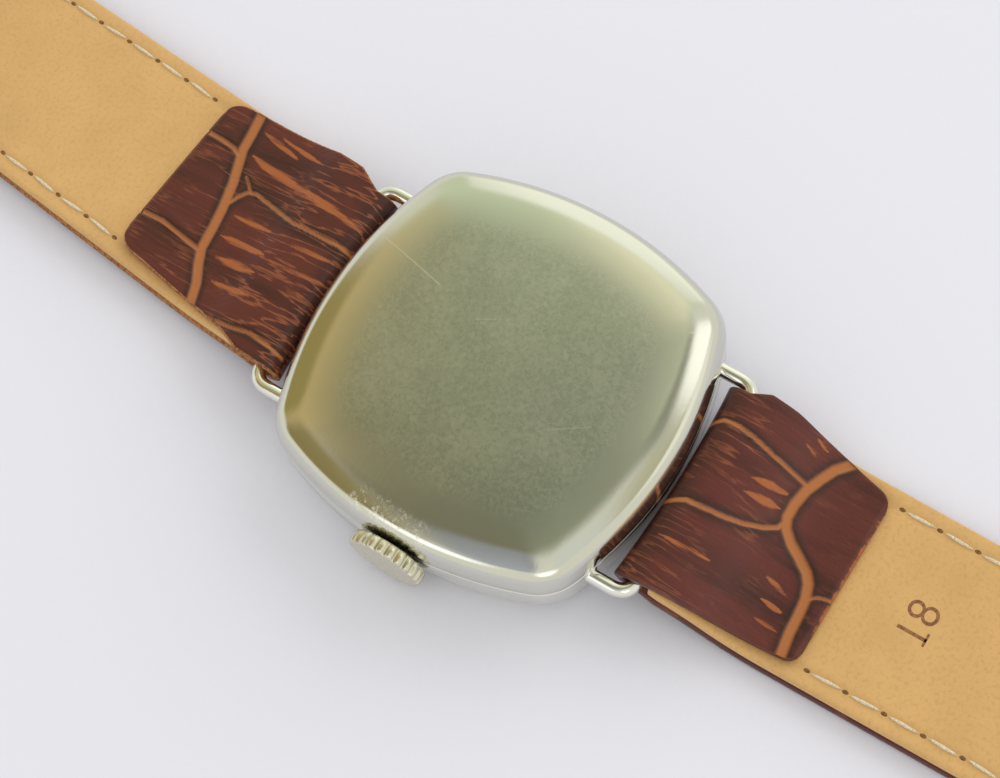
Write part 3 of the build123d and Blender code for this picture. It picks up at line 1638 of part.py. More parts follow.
with BuildPart() as pallet_lever:
    with BuildSketch(Plane(lever_place)):
        for side in (-1, 1):
            pad_x = stone_x - pad_back * cos(radians(stone_angle))
            pad_y = side * (stone_y + pad_back * sin(radians(stone_angle)))
            with Locations((pad_x, pad_y)):
                Circle(pad_radius)
            Polygon(
                (-lever_width, 0),
                (lever_width, 0),
                (pad_x + lever_width / 2, pad_y),
                (pad_x - lever_width / 2, pad_y),
                align=None,
            )
        fork_start = -lever_reach + 2 * lever_notch
        Polygon(
            (0, lever_width),
            (fork_start, lever_width / 2),
            (-lever_reach, lever_notch / 2 + lever_width),
            (-lever_reach, -lever_notch / 2 - lever_width),
            (fork_start, -lever_width / 2),
            (0, -lever_width),
            align=None,
        )
        with Locations((-lever_reach, 0)):
            Rectangle(lever_notch * 3 / 2, lever_notch, mode=Mode.SUBTRACT)
        add(stones(), mode=Mode.SUBTRACT)
    extrude(amount=wheel_thickness)
    add(rod(lever_at, arbor_radius, plate_top_z + bridge_gap, pallet_cock_z - bridge_gap))
    add(rod(lever_at, pivot_radius, plate_top_z - pivot_length, pallet_cock_z + pivot_length))
save(pallet_lever, "pallet_lever")

with BuildPart() as pallet_stones:
    with BuildSketch(Plane(lever_place)):
        add(stones())
    extrude(amount=wheel_thickness)
save(pallet_stones, "pallet_stones")

# Balance: rim and two arms on its staff, the roller with its impulse pin, and the hairspring

with BuildPart() as balance_wheel:
    with BuildSketch(Plane.XY.offset(balance_z)):
        with Locations(balance_at):
            Circle(balance_radius)
            Circle(balance_radius - balance_rim, mode=Mode.SUBTRACT)
            with Locations(Location((0, 0, 0), (0, 0, lever_line))):
                Rectangle(2 * balance_radius - balance_rim, balance_rim)
            Circle(roller_radius * 2 / 3)
            Circle(staff_radius, mode=Mode.SUBTRACT)
    extrude(amount=balance_height)
save(balance_wheel, "balance_wheel")

with BuildPart() as balance_staff:
    add(rod(balance_at, staff_radius, plate_top_z + bridge_gap, cock_z - bridge_gap))
    add(rod(balance_at, pivot_radius, plate_top_z - pivot_length, cock_z + pivot_length))
save(balance_staff, "balance_staff")

with BuildPart() as roller:
    with BuildSketch(Plane.XY.offset(roller_z)):
        with Locations(balance_at):
            Circle(roller_radius)
            Circle(staff_radius, mode=Mode.SUBTRACT)
    extrude(amount=roller_height)
    pin_at = offset_point(balance_at, lever_line + 180, pin_orbit)
    add(rod(pin_at, pin_radius, lever_z + bridge_gap / 2, roller_z))
save(roller, "roller")

with BuildPart() as hairspring:
    with BuildSketch(Plane.XY.offset(spring_z)):
        with Locations(balance_at):
            coil = spiral(spring_inner, spring_pitch, spring_turn_count, spring_facet_count, spring_strip)
            Polygon(*coil, align=None)
            Circle(spring_inner + spring_strip)
            Circle(staff_radius, mode=Mode.SUBTRACT)
    extrude(amount=spring_height)
save(hairspring, "hairspring")

# Motion work: cannon pinion on the centre arbor, minute wheel on its post, hour wheel round the cannon

to_minute_wheel = heading(centre_at, minute_wheel_at)

with BuildPart() as cannon_pinion:
    add(rod(centre_at, cannon_radius, minute_hand_z, cannon_leaf_z))
    with BuildSketch(Plane.XY.offset(cannon_leaf_z)):
        Polygon(*gear(cannon_leaves, cannon_module, gap_facing(cannon_leaves, to_minute_wheel)), align=None)
    extrude(amount=cannon_leaf_height)
    bore_top = cannon_leaf_z + cannon_leaf_height
    add(rod(centre_at, centre_arbor_radius, minute_hand_z, bore_top), mode=Mode.SUBTRACT)
save(cannon_pinion, "cannon_pinion")

with BuildPart() as minute_wheel:
    with BuildSketch(Plane.XY.offset(minute_wheel_z)):
        with Locations(minute_wheel_at):
            Polygon(*gear(minute_teeth, cannon_module, to_minute_wheel + 180), align=None)
    extrude(amount=wheel_thickness)
    with BuildSketch(Plane.XY.offset(hour_wheel_z - bridge_gap / 2)):
        with Locations(minute_wheel_at):
            first_leaf = gap_facing(minute_leaves, to_minute_wheel + 180)
            Polygon(*gear(minute_leaves, hour_module, first_leaf), align=None)
    extrude(amount=minute_wheel_z - hour_wheel_z + bridge_gap / 2)
    add(rod(minute_wheel_at, arbor_radius + pivot_clearance, dial_z, plate_z), mode=Mode.SUBTRACT)
save(minute_wheel, "minute_wheel")

with BuildPart() as hour_wheel:
    with BuildSketch(Plane.XY.offset(hour_wheel_z)):
        Polygon(*gear(hour_teeth, hour_module, to_minute_wheel), align=None)
    extrude(amount=wheel_thickness * 4 / 5)
    add(rod(centre_at, hour_pipe_radius, hour_hand_z, hour_wheel_z))
    add(rod(centre_at, cannon_radius + pivot_clearance, hour_hand_z, cannon_leaf_z), mode=Mode.SUBTRACT)
save(hour_wheel, "hour_wheel")
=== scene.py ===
import logging
import random
from collections.abc import Callable, Sequence
from dataclasses import dataclass
from enum import Enum
from math import atan2, cos, pi, radians, sin, sqrt, tan

import bmesh
import bpy
from mathutils import Matrix, Vector


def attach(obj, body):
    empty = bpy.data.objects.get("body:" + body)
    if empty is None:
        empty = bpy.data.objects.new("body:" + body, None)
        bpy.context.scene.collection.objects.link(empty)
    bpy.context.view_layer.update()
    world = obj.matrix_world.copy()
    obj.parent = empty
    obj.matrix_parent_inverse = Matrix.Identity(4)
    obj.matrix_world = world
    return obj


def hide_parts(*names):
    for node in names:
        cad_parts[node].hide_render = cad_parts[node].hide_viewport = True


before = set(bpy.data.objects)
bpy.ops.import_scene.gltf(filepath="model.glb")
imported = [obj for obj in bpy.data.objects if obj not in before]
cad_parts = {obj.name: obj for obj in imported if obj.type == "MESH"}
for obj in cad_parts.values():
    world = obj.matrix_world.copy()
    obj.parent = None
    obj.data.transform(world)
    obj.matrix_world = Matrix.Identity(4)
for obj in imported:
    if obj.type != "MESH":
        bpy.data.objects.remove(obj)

LOG = logging.getLogger("watch")
MM = 0.001
UP = Vector((0, 0, 1))
SOFT_CREASE = 50.0

Colour = tuple[float, float, float, float]
Point = tuple[float, float]
Plan = Sequence[tuple[float, float, float]]
Rings = list[list[Vector]]
Inputs = dict[str | int, object]
Shape = bmesh.types.BMesh
Material = bpy.types.Material
Materials = Sequence[Material]
Tree = bpy.types.NodeTree
Node = bpy.types.Node
Socket = bpy.types.NodeSocket


class Body(Enum):
    """The moving bodies that new pieces ride on."""

    CASE = "case"
    BACK = "back"
    CROWN = "crown"
    STRAP_TWELVE = "strap_twelve"
    STRAP_SIX = "strap_six"
    BUCKLE = "buckle"
    TONGUE = "tongue"
    KEEPER = "keeper"


class Slot(Enum):
    """The record's material slots."""

    CASE = "case_steel"
    DIAL = "dial"
    BUCKLE = "buckle_steel"
    BROWN = "brown_leather"
    TAN = "tan_leather"


def tone(code: str) -> Colour:
    """Turns an sRGB hex colour into linear red, green, blue and alpha.

    Args:
        code: six hex digits.

    Returns:
        The linear colour.
    """
    parts = [int(code[k : k + 2], 16) / 255 for k in (0, 2, 4)]
    red, green, blue = (c / 12.92 if c <= 0.04045 else ((c + 0.055) / 1.055) ** 2.4 for c in parts)
    return (red, green, blue, 1.0)


def per(size: float) -> float:
    """Texture scale at which one feature of a noise or cell is this many millimetres wide."""
    return 1 / (size * MM)


def ease(low: float, high: float, value: float) -> float:
    """Smooth step from 0 at the low value to 1 at the high value."""
    t = min(max((value - low) / (high - low), 0.0), 1.0)
    return t * t * (3 - 2 * t)


def fill(tree: Tree, node: Node, sockets: Inputs) -> None:
    """Sets or links a node's inputs.

    Args:
        tree: the tree that holds the node.
        node: the node.
        sockets: input name or number, with a value, or with the output or the node that feeds it.
    """
    for key, value in sockets.items():
        if isinstance(value, Node):
            value = next(output for output in value.outputs if output.enabled)
        if isinstance(value, Socket):
            tree.links.new(value, node.inputs[key])
        else:
            node.inputs[key].default_value = value


def add_node(tree: Tree, kind: str, sockets: Inputs | None = None, **settings: object) -> Node:
    """Adds a node, sets its properties, and sets or links its inputs.

    Map Range takes its two ranges at inputs 1 to 4, and Mix its share at 0 and its colours at 6 and 7.

    Args:
        tree: the tree that gets the node.
        kind: the shader node's type.
        sockets: as for fill.
        settings: properties of the node.

    Returns:
        The new node.
    """
    node = tree.nodes.new("ShaderNode" + kind)
    for name, value in settings.items():
        setattr(node, name, value)
    fill(tree, node, sockets or {})
    return node


# Shapes


def rounded(corners: Sequence[tuple[float, float, float]], steps: int) -> list[Vector]:
    """A line through corners, each eased with a curve that starts and ends where its radius would.

    Args:
        corners: x, y and radius of each corner; the first and last stay sharp.
        steps: straight pieces per curve.

    Returns:
        The points of the line.
    """
    line = []
    for k, (x, y, radius) in enumerate(corners):
        here = Vector((x, y))
        if radius == 0 or k in (0, len(corners) - 1):
            line.append(here)
            continue
        before = Vector(corners[k - 1][:2]) - here
        after = Vector(corners[k + 1][:2]) - here
        reach = min(radius / tan(before.angle(after) / 2), before.length / 2, after.length / 2)
        start, end = here + before.normalized() * reach, here + after.normalized() * reach
        for step in range(steps + 1):
            t = step / steps
            line.append(start.lerp(here, t).lerp(here.lerp(end, t), t))
    return line


def loft(rings: Rings, closed: bool = False, marks: Sequence[str] = ()) -> tuple[Shape, list[list]]:
    """Extrudes a circle of vertices from ring to ring.

    Args:
        rings: the places of each ring's vertices, in millimetres, all of one count.
        closed: whether the last ring joins the first; otherwise both ends are filled.
        marks: names of the number attributes that its vertices carry.

    Returns:
        The mesh and its vertices, row by row.
    """
    shape = bmesh.new()
    for name in marks:
        shape.verts.layers.float.new(name)
    bmesh.ops.create_circle(shape, segments=len(rings[0]), radius=1.0)
    row, edges = list(shape.verts), list(shape.edges)
    rows = [row]
    first = edges
    places = rings + ([rings[0]] if closed else [])
    for _ in places[1:]:
        made = bmesh.ops.extrude_edge_only(shape, edges=edges)["geom"]
        fresh = {v for v in made if isinstance(v, bmesh.types.BMVert)}
        edges = [e for e in made if isinstance(e, bmesh.types.BMEdge) and fresh.issuperset(e.verts)]
        row = [next(e.other_vert(v) for e in v.link_edges if e.other_vert(v) in fresh) for v in row]
        rows.append(row)
    for verts, ring in zip(rows, places):
        for vert, place in zip(verts, ring):
            vert.co = place
    if closed:
        bmesh.ops.remove_doubles(shape, verts=rows[0] + rows[-1], dist=1e-5)
        rows.pop(0)
    else:
        bmesh.ops.contextual_create(shape, geom=first)
        bmesh.ops.contextual_create(shape, geom=edges)
    return shape, rows


def sweep(path: Sequence[Vector], section: Sequence[Vector]) -> Rings:
    """Rings of an upright section carried along a level path.

    Args:
        path: centre points.
        section: points across (x) and upwards (y).

    Returns:
        One ring for each point of the path.
    """
    rings = []
    for k, here in enumerate(path):
        side = (path[min(k + 1, len(path) - 1)] - path[max(k - 1, 0)]).normalized().cross(UP)
        rings.append([here + side * point.x + UP * point.y for point in section])
    return rings


def oval(half_width: float, half_height: float, power: float, count: int) -> list[Vector]:
    """A closed section between an ellipse (power 1) and a box with eased corners (power near 0.3).

    Args:
        half_width: half its width.
        half_height: half its height.
        power: how round it is.
        count: how many points it has.

    Returns:
        The points, in order.
    """
    turns = [2 * pi * k / count for k in range(count)]
    push: Callable[[float], float] = lambda v: abs(v) ** power * (1 if v > 0 else -1)
    return [Vector((half_width * push(cos(a)), half_height * push(sin(a)))) for a in turns]


def shifted(place: Sequence[float], size: Sequence[float] = (1, 1, 1), turn: float = 0.0) -> Matrix:
    """A scaling, then a turn about the upright, then a move."""
    return Matrix.Translation(place) @ Matrix.Rotation(turn, 4, "Z") @ Matrix.Diagonal((*size, 1))


def join(whole: Shape, part: Shape) -> None:
    """Adds a part to the whole.

    Args:
        whole: the shape that gets it.
        part: the part, which is freed.
    """
    mesh = bpy.data.meshes.new("part")
    part.to_mesh(mesh)
    part.free()
    whole.from_mesh(mesh)
    bpy.data.meshes.remove(mesh)


def link(name: str, data: bpy.types.ID) -> bpy.types.Object:
    """Makes an object and links it to the scene.

    Args:
        name: what it is called.
        data: its mesh, curve, light or camera.

    Returns:
        The object.
    """
    item = bpy.data.objects.new(name, data)
    bpy.context.scene.collection.objects.link(item)
    return item


def settled(item: bpy.types.Object) -> bpy.types.Mesh:
    """The mesh of an object with its modifiers or its text worked out."""
    bpy.context.view_layer.update()
    return bpy.data.meshes.new_from_object(item.evaluated_get(bpy.context.evaluated_depsgraph_get()))


@dataclass
class Piece:
    """What a finished shape is called, what it moves with and what it stands for."""

    name: str
    body: Body
    slot: Slot
    finishes: Materials
    stands_for: tuple[str, ...] = ()
    crease: float = 35.0

    def place(self, shape: Shape) -> None:
        """Makes the object from a closed shape in millimetres, which is freed.

        Args:
            shape: the shape; its faces are turned outwards here.
        """
        bmesh.ops.recalc_face_normals(shape, faces=shape.faces[:])
        bmesh.ops.scale(shape, vec=(MM, MM, MM), verts=shape.verts[:])
        mesh = bpy.data.meshes.new(self.name)
        shape.to_mesh(mesh)
        shape.free()
        self.adopt(mesh)

    def adopt(self, mesh: bpy.types.Mesh) -> None:
        """Makes the object from a finished mesh in metres, riding on its body.

        Args:
            mesh: the mesh.
        """
        for finish in self.finishes:
            mesh.materials.append(finish)
        mesh.name = self.name
        mesh.shade_smooth()
        mesh.set_sharp_from_angle(angle=radians(self.crease))
        piece = link(self.name, mesh)
        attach(piece, self.body.value)
        if self.stands_for:
            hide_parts(*self.stands_for)
        LOG.info("%s: %d faces, with body %s", self.name, len(mesh.polygons), self.body.value)


# Finishes


@dataclass(frozen=True)
class Finish:
    """A named surface with its base colour, roughness and metalness."""

    name: str
    colour: str
    roughness: float
    metallic: float = 0.0

    def begin(self) -> tuple[Material, Tree, Node, Socket]:
        """Starts the material.

        Returns:
            The material, its tree, its surface shader and the object coordinates.
        """
        material = bpy.data.materials.new(self.name)
        material.use_nodes = True
        tree = material.node_tree
        shader = tree.nodes["Principled BSDF"]
        plain = {"Base Color": tone(self.colour), "Roughness": self.roughness, "Metallic": self.metallic}
        fill(tree, shader, plain)
        return material, tree, shader, add_node(tree, "TexCoord").outputs["Object"]


@dataclass(frozen=True)
class BackSteel(Finish):
    """Stainless steel, pressed and polished, then dulled on the wrist.

    The flat panel is a duller grey-green, partly wear haze and partly a painted reflection of greenish
    surroundings, with fine flecks; the shoulder keeps its polish and shows hairlines.
    """

    wear_haze_and_reflection: str = "A6A99E"
    fleck: str = "C2C3B6"
    bright: str = "EDEBDD"
    panel_roughness: float = 0.27
    hairlines: tuple[tuple[float, float, float, float, float], ...] = (
        (4.68, 13.31, 3.27, 7.26, 0.5),
        (2.2, 3.4, 3.0, 1.9, 0.3),
        (9.6, -11.2, 10.6, -12.4, 0.4),
        (-2.6, -6.2, -0.8, -8.8, 0.22),
    )

    def build(self) -> Material:
        """Builds the material; it reads the piece's panel and scuff attributes.

        Returns:
            The material.
        """
        material, tree, shader, at = self.begin()
        panel, scuff = (
            add_node(tree, "Attribute", attribute_name=name).outputs["Fac"] for name in ("panel", "scuff")
        )
        cloud = add_node(tree, "TexNoise", {"Vector": at, "Scale": per(3.2), "Detail": 4.0})
        flecks = {"Vector": at, "Scale": per(0.34), "Detail": 5.0, "Roughness": 0.72, "Distortion": 0.6}
        grain = add_node(tree, "TexNoise", flecks)
        lines = add_node(tree, "Mapping", {"Vector": at, "Rotation": (0, 0, 0.5), "Scale": (1.0, 22.0, 1.0)})
        hair = add_node(tree, "TexNoise", {"Vector": lines, "Scale": per(2.2), "Detail": 4.0})
        mottle = add_node(tree, "Math", {0: cloud, 1: 0.35, 2: grain}, operation="MULTIPLY_ADD")
        speck = add_node(tree, "MapRange", {"Value": mottle, 1: 0.56, 2: 0.9, 3: 0.0, 4: 0.8})
        worn = add_node(tree, "Math", {0: panel, 1: speck}, operation="MULTIPLY")
        # Panel tint: partly wear haze, partly a painted reflection of greenish surroundings
        ground = add_node(tree, "Mix", {0: panel, 6: tone(self.colour), 7: tone(self.wear_haze_and_reflection)}, data_type="RGBA")
        base = add_node(tree, "Mix", {0: worn, 6: ground, 7: tone(self.fleck)}, data_type="RGBA")
        patch = add_node(tree, "MapRange", {"Value": grain, 1: 0.5, 2: 0.62})
        marks = add_node(tree, "Math", {0: scuff, 1: patch}, operation="MULTIPLY")
        for x0, y0, x1, y1, strength in self.hairlines:
            start, heading = (x0 * MM, y0 * MM, 0), (0, 0, atan2(y1 - y0, x1 - x0))
            sockets = {"Vector": at, "Location": start, "Rotation": heading}
            local = add_node(tree, "Mapping", sockets, vector_type="TEXTURE")
            along, across, _ = add_node(tree, "SeparateXYZ", {0: local}).outputs
            off = add_node(tree, "Math", {0: across}, operation="ABSOLUTE")
            span = {1: 0.015 * MM, 2: 0.06 * MM, 3: strength, 4: 0.0}
            width = add_node(tree, "MapRange", {"Value": off, **span})
            reach = sqrt((x1 - x0) ** 2 + (y1 - y0) ** 2) * MM
            within = add_node(tree, "Math", {0: along, 1: reach / 2, 2: reach / 2}, operation="COMPARE")
            line = add_node(tree, "Math", {0: width, 1: within}, operation="MULTIPLY")
            marks = add_node(tree, "Math", {0: marks, 1: line}, operation="MAXIMUM")
        final = add_node(tree, "Mix", {0: marks, 6: base, 7: tone(self.bright)}, data_type="RGBA")
        dull = add_node(tree, "MapRange", {"Value": panel, 3: self.roughness, 4: self.panel_roughness})
        rough = add_node(tree, "Math", {0: worn, 1: 0.08, 2: dull}, operation="MULTIPLY_ADD")
        matt = add_node(tree, "Math", {0: marks, 1: 0.35, 2: rough}, operation="MULTIPLY_ADD")
        height = add_node(tree, "Math", {0: grain, 1: hair}, operation="ADD")
        bump = add_node(tree, "Bump", {"Strength": 0.12, "Distance": 0.02 * MM, "Height": height})
        fill(tree, shader, {"Base Color": final, "Roughness": matt, "Normal": bump})
        return material


@dataclass(frozen=True)
class PolishedSteel(Finish):
    """Metal drawn or turned, and polished: bright, with fine handling lines along one direction."""

    line: float = 0.12
    stretch: tuple[float, float, float] = (1.0, 1.0, 12.0)
    depth: float = 0.1

    def build(self) -> Material:
        """Builds the material, whose lines lie square to the most stretched direction.

        Returns:
            The material.
        """
        material, tree, shader, at = self.begin()
        lines = add_node(tree, "Mapping", {"Vector": at, "Scale": self.stretch})
        grain = add_node(tree, "TexNoise", {"Vector": lines, "Scale": per(self.line * 8), "Detail": 4.0})
        cloud = add_node(tree, "TexNoise", {"Vector": at, "Scale": per(1.4), "Detail": 3.0})
        blend = add_node(tree, "Math", {0: grain, 1: cloud}, operation="MULTIPLY")
        span = {1: 0.1, 2: 0.45, 3: self.roughness * 0.75, 4: self.roughness * 1.5}
        rough = add_node(tree, "MapRange", {"Value": blend, **span})
        bump = add_node(tree, "Bump", {"Strength": self.depth, "Distance": 0.02 * MM, "Height": grain})
        fill(tree, shader, {"Roughness": rough, "Normal": bump})
        return material


@dataclass(frozen=True)
class StripedPlate(Finish):
    """Brass plated with nickel and dressed in broad parallel stripes, whose sheen turns band by band."""

    stripe: float = 1.5

    def build(self) -> Material:
        """Builds the material; each stripe is a shallow sawtooth of grinding.

        Returns:
            The material.
        """
        material, tree, shader, at = self.begin()
        turned = add_node(tree, "Mapping", {"Vector": at, "Rotation": (0, 0, 0.7)})
        wave = {"Vector": turned, "Scale": per(self.stripe) * pi / 10 / 2, "Distortion": 0.0}
        band = add_node(tree, "TexWave", wave, wave_profile="SAW").outputs["Fac"]
        fine = add_node(tree, "TexNoise", {"Vector": at, "Scale": per(0.15), "Detail": 2.0})
        rough = add_node(tree, "MapRange", {"Value": band, 3: self.roughness, 4: self.roughness + 0.2})
        height = add_node(tree, "Math", {0: fine, 1: 0.15, 2: band}, operation="MULTIPLY_ADD")
        bump = add_node(tree, "Bump", {"Strength": 0.5, "Distance": 0.03 * MM, "Height": height})
        fill(tree, shader, {"Roughness": rough, "Normal": bump})
        return material


@dataclass(frozen=True)
class Enamel(Finish):
    """A lacquered or printed surface: even colour with the faintest orange peel."""

    grain: float = 0.3
    second: str = ""

    def build(self) -> Material:
        """Builds the material, with a slight drift between its two colours.

        Returns:
            The material.
        """
        material, tree, shader, at = self.begin()
        cloud = add_node(tree, "TexNoise", {"Vector": at, "Scale": per(self.grain), "Detail": 3.0})
        pair = {6: tone(self.colour), 7: tone(self.second or self.colour)}
        drift = add_node(tree, "Mix", {0: cloud, **pair}, data_type="RGBA")
        bump = add_node(tree, "Bump", {"Strength": 0.08, "Distance": 0.02 * MM, "Height": cloud})
        fill(tree, shader, {"Base Color": drift, "Normal": bump})
        return material


@dataclass(frozen=True)
class Clear(Finish):
    """Mineral glass or a synthetic stone: clear body, polished face, faint wear in the gloss."""

    index: float = 1.52
    worn_roughness: float = 0.06

    def build(self) -> Material:
        """Builds the material, with light passing through it.

        Returns:
            The material.
        """
        material, tree, shader, at = self.begin()
        wear = add_node(tree, "TexNoise", {"Vector": at, "Scale": per(0.8), "Detail": 4.0})
        span = {1: 0.45, 2: 0.75, 3: self.roughness, 4: self.worn_roughness}
        rough = add_node(tree, "MapRange", {"Value": wear, **span})
        fill(tree, shader, {"IOR": self.index, "Transmission Weight": 1.0, "Roughness": rough})
        return material


@dataclass(frozen=True)
class EmbossedLeather(Finish):
    """Calf, embossed in large scales, dyed dark and polished.

    The grooves and rubbed patches keep a lighter orange-tan, thin wrinkles run along the strap, the dye is
    darkest beside the grooves, painted shade darkens the fold round the bar, and the high faces take a low
    gloss.
    """

    deep: str = "3E150E"
    darkest_dye_and_shade: str = "23100C"
    groove: str = "B06A34"
    patch: str = "A65C2B"
    wrinkle: str = "94502B"
    scale: float = 6.5

    def build(self) -> Material:
        """Builds the material; it reads the piece's groove, streak, crease and run attributes, and its
        attribute for the dark dye beside the grooves with the painted shade at the fold.

        Returns:
            The material.
        """
        material, tree, shader, at = self.begin()
        groove, dye_and_fold_shade, rub, crease, run = (
            add_node(tree, "Attribute", attribute_name=name).outputs["Fac"]
            for name in ("groove", "dye_and_fold_shade", "streak", "crease", "run")
        )
        # Seams of the scales, on the long runs alone
        cells = {"Vector": at, "Scale": per(self.scale), "Randomness": 0.75}
        cell = add_node(tree, "TexVoronoi", cells, feature="DISTANCE_TO_EDGE")
        span = {1: 0.012, 2: 0.058, 3: 1.0, 4: 0.0}
        seam = add_node(tree, "MapRange", {"Value": cell, **span}, interpolation_type="SMOOTHSTEP")
        cut = add_node(tree, "Math", {0: seam, 1: run}, operation="MULTIPLY")
        sunk = add_node(tree, "Math", {0: cut, 1: groove}, operation="MAXIMUM")
        # Wrinkles about 0.45 mm apart and a few millimetres long, where stretched noise crosses its middle
        drawn = add_node(tree, "Mapping", {"Vector": at, "Scale": (1.0, 0.1, 0.3)})
        waves = {"Vector": drawn, "Scale": per(0.8), "Detail": 3.0, "Roughness": 0.5}
        fibre = add_node(tree, "TexNoise", waves)
        middle = add_node(tree, "Math", {0: fibre, 1: 0.5}, operation="SUBTRACT")
        away = add_node(tree, "Math", {0: middle}, operation="ABSOLUTE")
        line = add_node(tree, "MapRange", {"Value": away, 1: 0.006, 2: 0.034, 3: 1.0, 4: 0.0})
        area = add_node(tree, "TexNoise", {"Vector": at, "Scale": per(3.4), "Detail": 3.0})
        held = add_node(tree, "Math", {0: crease, 1: 0.3, 2: area}, operation="MULTIPLY_ADD")
        shown = add_node(tree, "MapRange", {"Value": held, 1: 0.45, 2: 0.72, 3: 0.06, 4: 0.85})
        thin = add_node(tree, "Math", {0: line, 1: shown}, operation="MULTIPLY")
        # Rubbed patches, frayed into threads along the strap
        frays = {"Vector": drawn, "Scale": per(0.42), "Detail": 4.0, "Roughness": 0.6}
        thread = add_node(tree, "TexNoise", frays)
        frayed = add_node(tree, "Math", {0: thread, 1: 4.4, 2: -2.55}, operation="MULTIPLY_ADD")
        torn = add_node(tree, "Math", {0: rub, 1: 1.35, 2: frayed}, operation="MULTIPLY_ADD", use_clamp=True)
        inside = add_node(tree, "MapRange", {"Value": rub, 1: 0.0, 2: 0.25, 3: 0.12, 4: 1.0})
        strong = add_node(tree, "Math", {0: torn, 1: inside}, operation="MULTIPLY")
        # Dye, from its drift up to the bare grooves, with painted shade darkening the fold round the bar
        tint = add_node(tree, "TexNoise", {"Vector": drawn, "Scale": per(1.6), "Detail": 4.0})
        soft = add_node(tree, "MapRange", {"Value": tint, 1: 0.25, 2: 0.6})
        # Share of dark dye beside the grooves and of painted shade at the fold
        dye_and_shade_share = add_node(tree, "Math", {0: dye_and_fold_shade, 1: 0.78}, operation="MULTIPLY")
        colour: Node | Colour = tone(self.deep)
        for share, code in (
            (soft, self.colour),
            (dye_and_shade_share, self.darkest_dye_and_shade),
            (thin, self.wrinkle),
            (strong, self.patch),
            (sunk, self.groove),
        ):
            colour = add_node(tree, "Mix", {0: share, 6: colour, 7: tone(code)}, data_type="RGBA")
        pore = add_node(tree, "TexNoise", {"Vector": at, "Scale": per(0.3), "Detail": 3.0})
        fine = add_node(tree, "Math", {0: thin, 1: -0.9, 2: pore}, operation="MULTIPLY_ADD")
        height = add_node(tree, "Math", {0: cut, 1: -4.0, 2: fine}, operation="MULTIPLY_ADD")
        bump = add_node(tree, "Bump", {"Strength": 0.55, "Distance": 0.05 * MM, "Height": height})
        gloss = {"Specular IOR Level": 0.4, "Coat Weight": 0.18, "Coat Roughness": 0.22}
        fill(tree, shader, {"Base Color": colour, "Normal": bump, **gloss})
        return material


@dataclass(frozen=True)
class Nubuck(Finish):
    """Lining calf with a buffed face: soft tan, dark pores and painted shade darkening the sunk channel along
    each seam.
    """

    pale: str = "D0A565"
    pit: str = "BE9354"
    channel_shade: str = "C39A5C"

    def build(self) -> Material:
        """Builds the material; it reads the piece's channel attribute.

        Returns:
            The material.
        """
        material, tree, shader, at = self.begin()
        channel = add_node(tree, "Attribute", attribute_name="channel").outputs["Fac"]
        cloud = add_node(tree, "TexNoise", {"Vector": at, "Scale": per(5.0), "Detail": 5.0, "Roughness": 0.6})
        pore = add_node(tree, "TexNoise", {"Vector": at, "Scale": per(0.35), "Detail": 3.0, "Roughness": 0.7})
        soft = add_node(tree, "MapRange", {"Value": cloud, 1: 0.3, 2: 0.75})
        speck = add_node(tree, "MapRange", {"Value": pore, 1: 0.35, 2: 0.5, 3: 0.4, 4: 0.0})
        # Painted shade in the sunk channel along each seam
        channel_shade_share = add_node(tree, "Math", {0: channel, 1: 0.55}, operation="MULTIPLY")
        colour: Node | Colour = tone(self.colour)
        for share, code in ((soft, self.pale), (speck, self.pit), (channel_shade_share, self.channel_shade)):
            colour = add_node(tree, "Mix", {0: share, 6: colour, 7: tone(code)}, data_type="RGBA")
        bump = add_node(tree, "Bump", {"Strength": 0.4, "Distance": 0.04 * MM, "Height": pore})
        nap = {"Sheen Weight": 0.15, "Sheen Roughness": 0.5}
        fill(tree, shader, {"Base Color": colour, "Normal": bump, **nap})
        return material


@dataclass(frozen=True)
class Twisted(Finish):
    """Waxed linen thread or a raw leather edge: matt, with short fibres across it."""

    fibre: float = 0.18
    second: str = "B9A98C"

    def build(self) -> Material:
        """Builds the material, with two tones of fibre.

        Returns:
            The material.
        """
        material, tree, shader, at = self.begin()
        strand = add_node(tree, "TexNoise", {"Vector": at, "Scale": per(self.fibre), "Detail": 4.0})
        share = add_node(tree, "MapRange", {"Value": strand, 1: 0.4, 2: 0.62})
        pair = {6: tone(self.colour), 7: tone(self.second)}
        drift = add_node(tree, "Mix", {0: share, **pair}, data_type="RGBA")
        bump = add_node(tree, "Bump", {"Strength": 0.6, "Distance": 0.05 * MM, "Height": strand})
        fill(tree, shader, {"Base Color": drift, "Normal": bump})
        return material


# Case


@dataclass(frozen=True)
class Cushion:
    """The case's outline: four wide side arcs and four small corner arcs, each tangent to the next."""

    half_width: float = 15.6
    side_radius: float = 30.5
    corner_radius: float = 4.4
    side_steps: int = 44
    corner_steps: int = 16

    def ring(self, inset: float, height: float, swell: float = 0.0) -> list[Vector]:
        """One turn of the outline.

        Args:
            inset: how far it is moved inwards.
            height: its level.
            swell: what the corner radius gains, so that inner turns stay soft.

        Returns:
            The points, in order.
        """
        side, corner = self.side_radius - inset, self.corner_radius - inset + swell
        centre = self.half_width - inset - side
        run = side - corner
        middle = (centre + sqrt(2 * run * run - centre * centre)) / 2
        spread = atan2(middle, middle - centre)
        points = []
        for quarter in range(4):
            turn = Matrix.Rotation(quarter * pi / 2, 3, "Z")
            for step in range(self.side_steps):
                a = spread * (2 * step / self.side_steps - 1)
                points.append(turn @ Vector((centre + side * cos(a), side * sin(a), height)))
            for step in range(self.corner_steps):
                a = spread + (pi / 2 - 2 * spread) * step / self.corner_steps
                points.append(turn @ Vector((middle + corner * cos(a), middle + corner * sin(a), height)))
        return points

    def bore(self, radius: float, height: float) -> list[Vector]:
        """A circle whose points lie on the same rays as the outline's."""
        return [Vector((p.x, p.y, 0)).normalized() * radius + Vector((0, 0, height)) for p in self.ring(0, 0)]


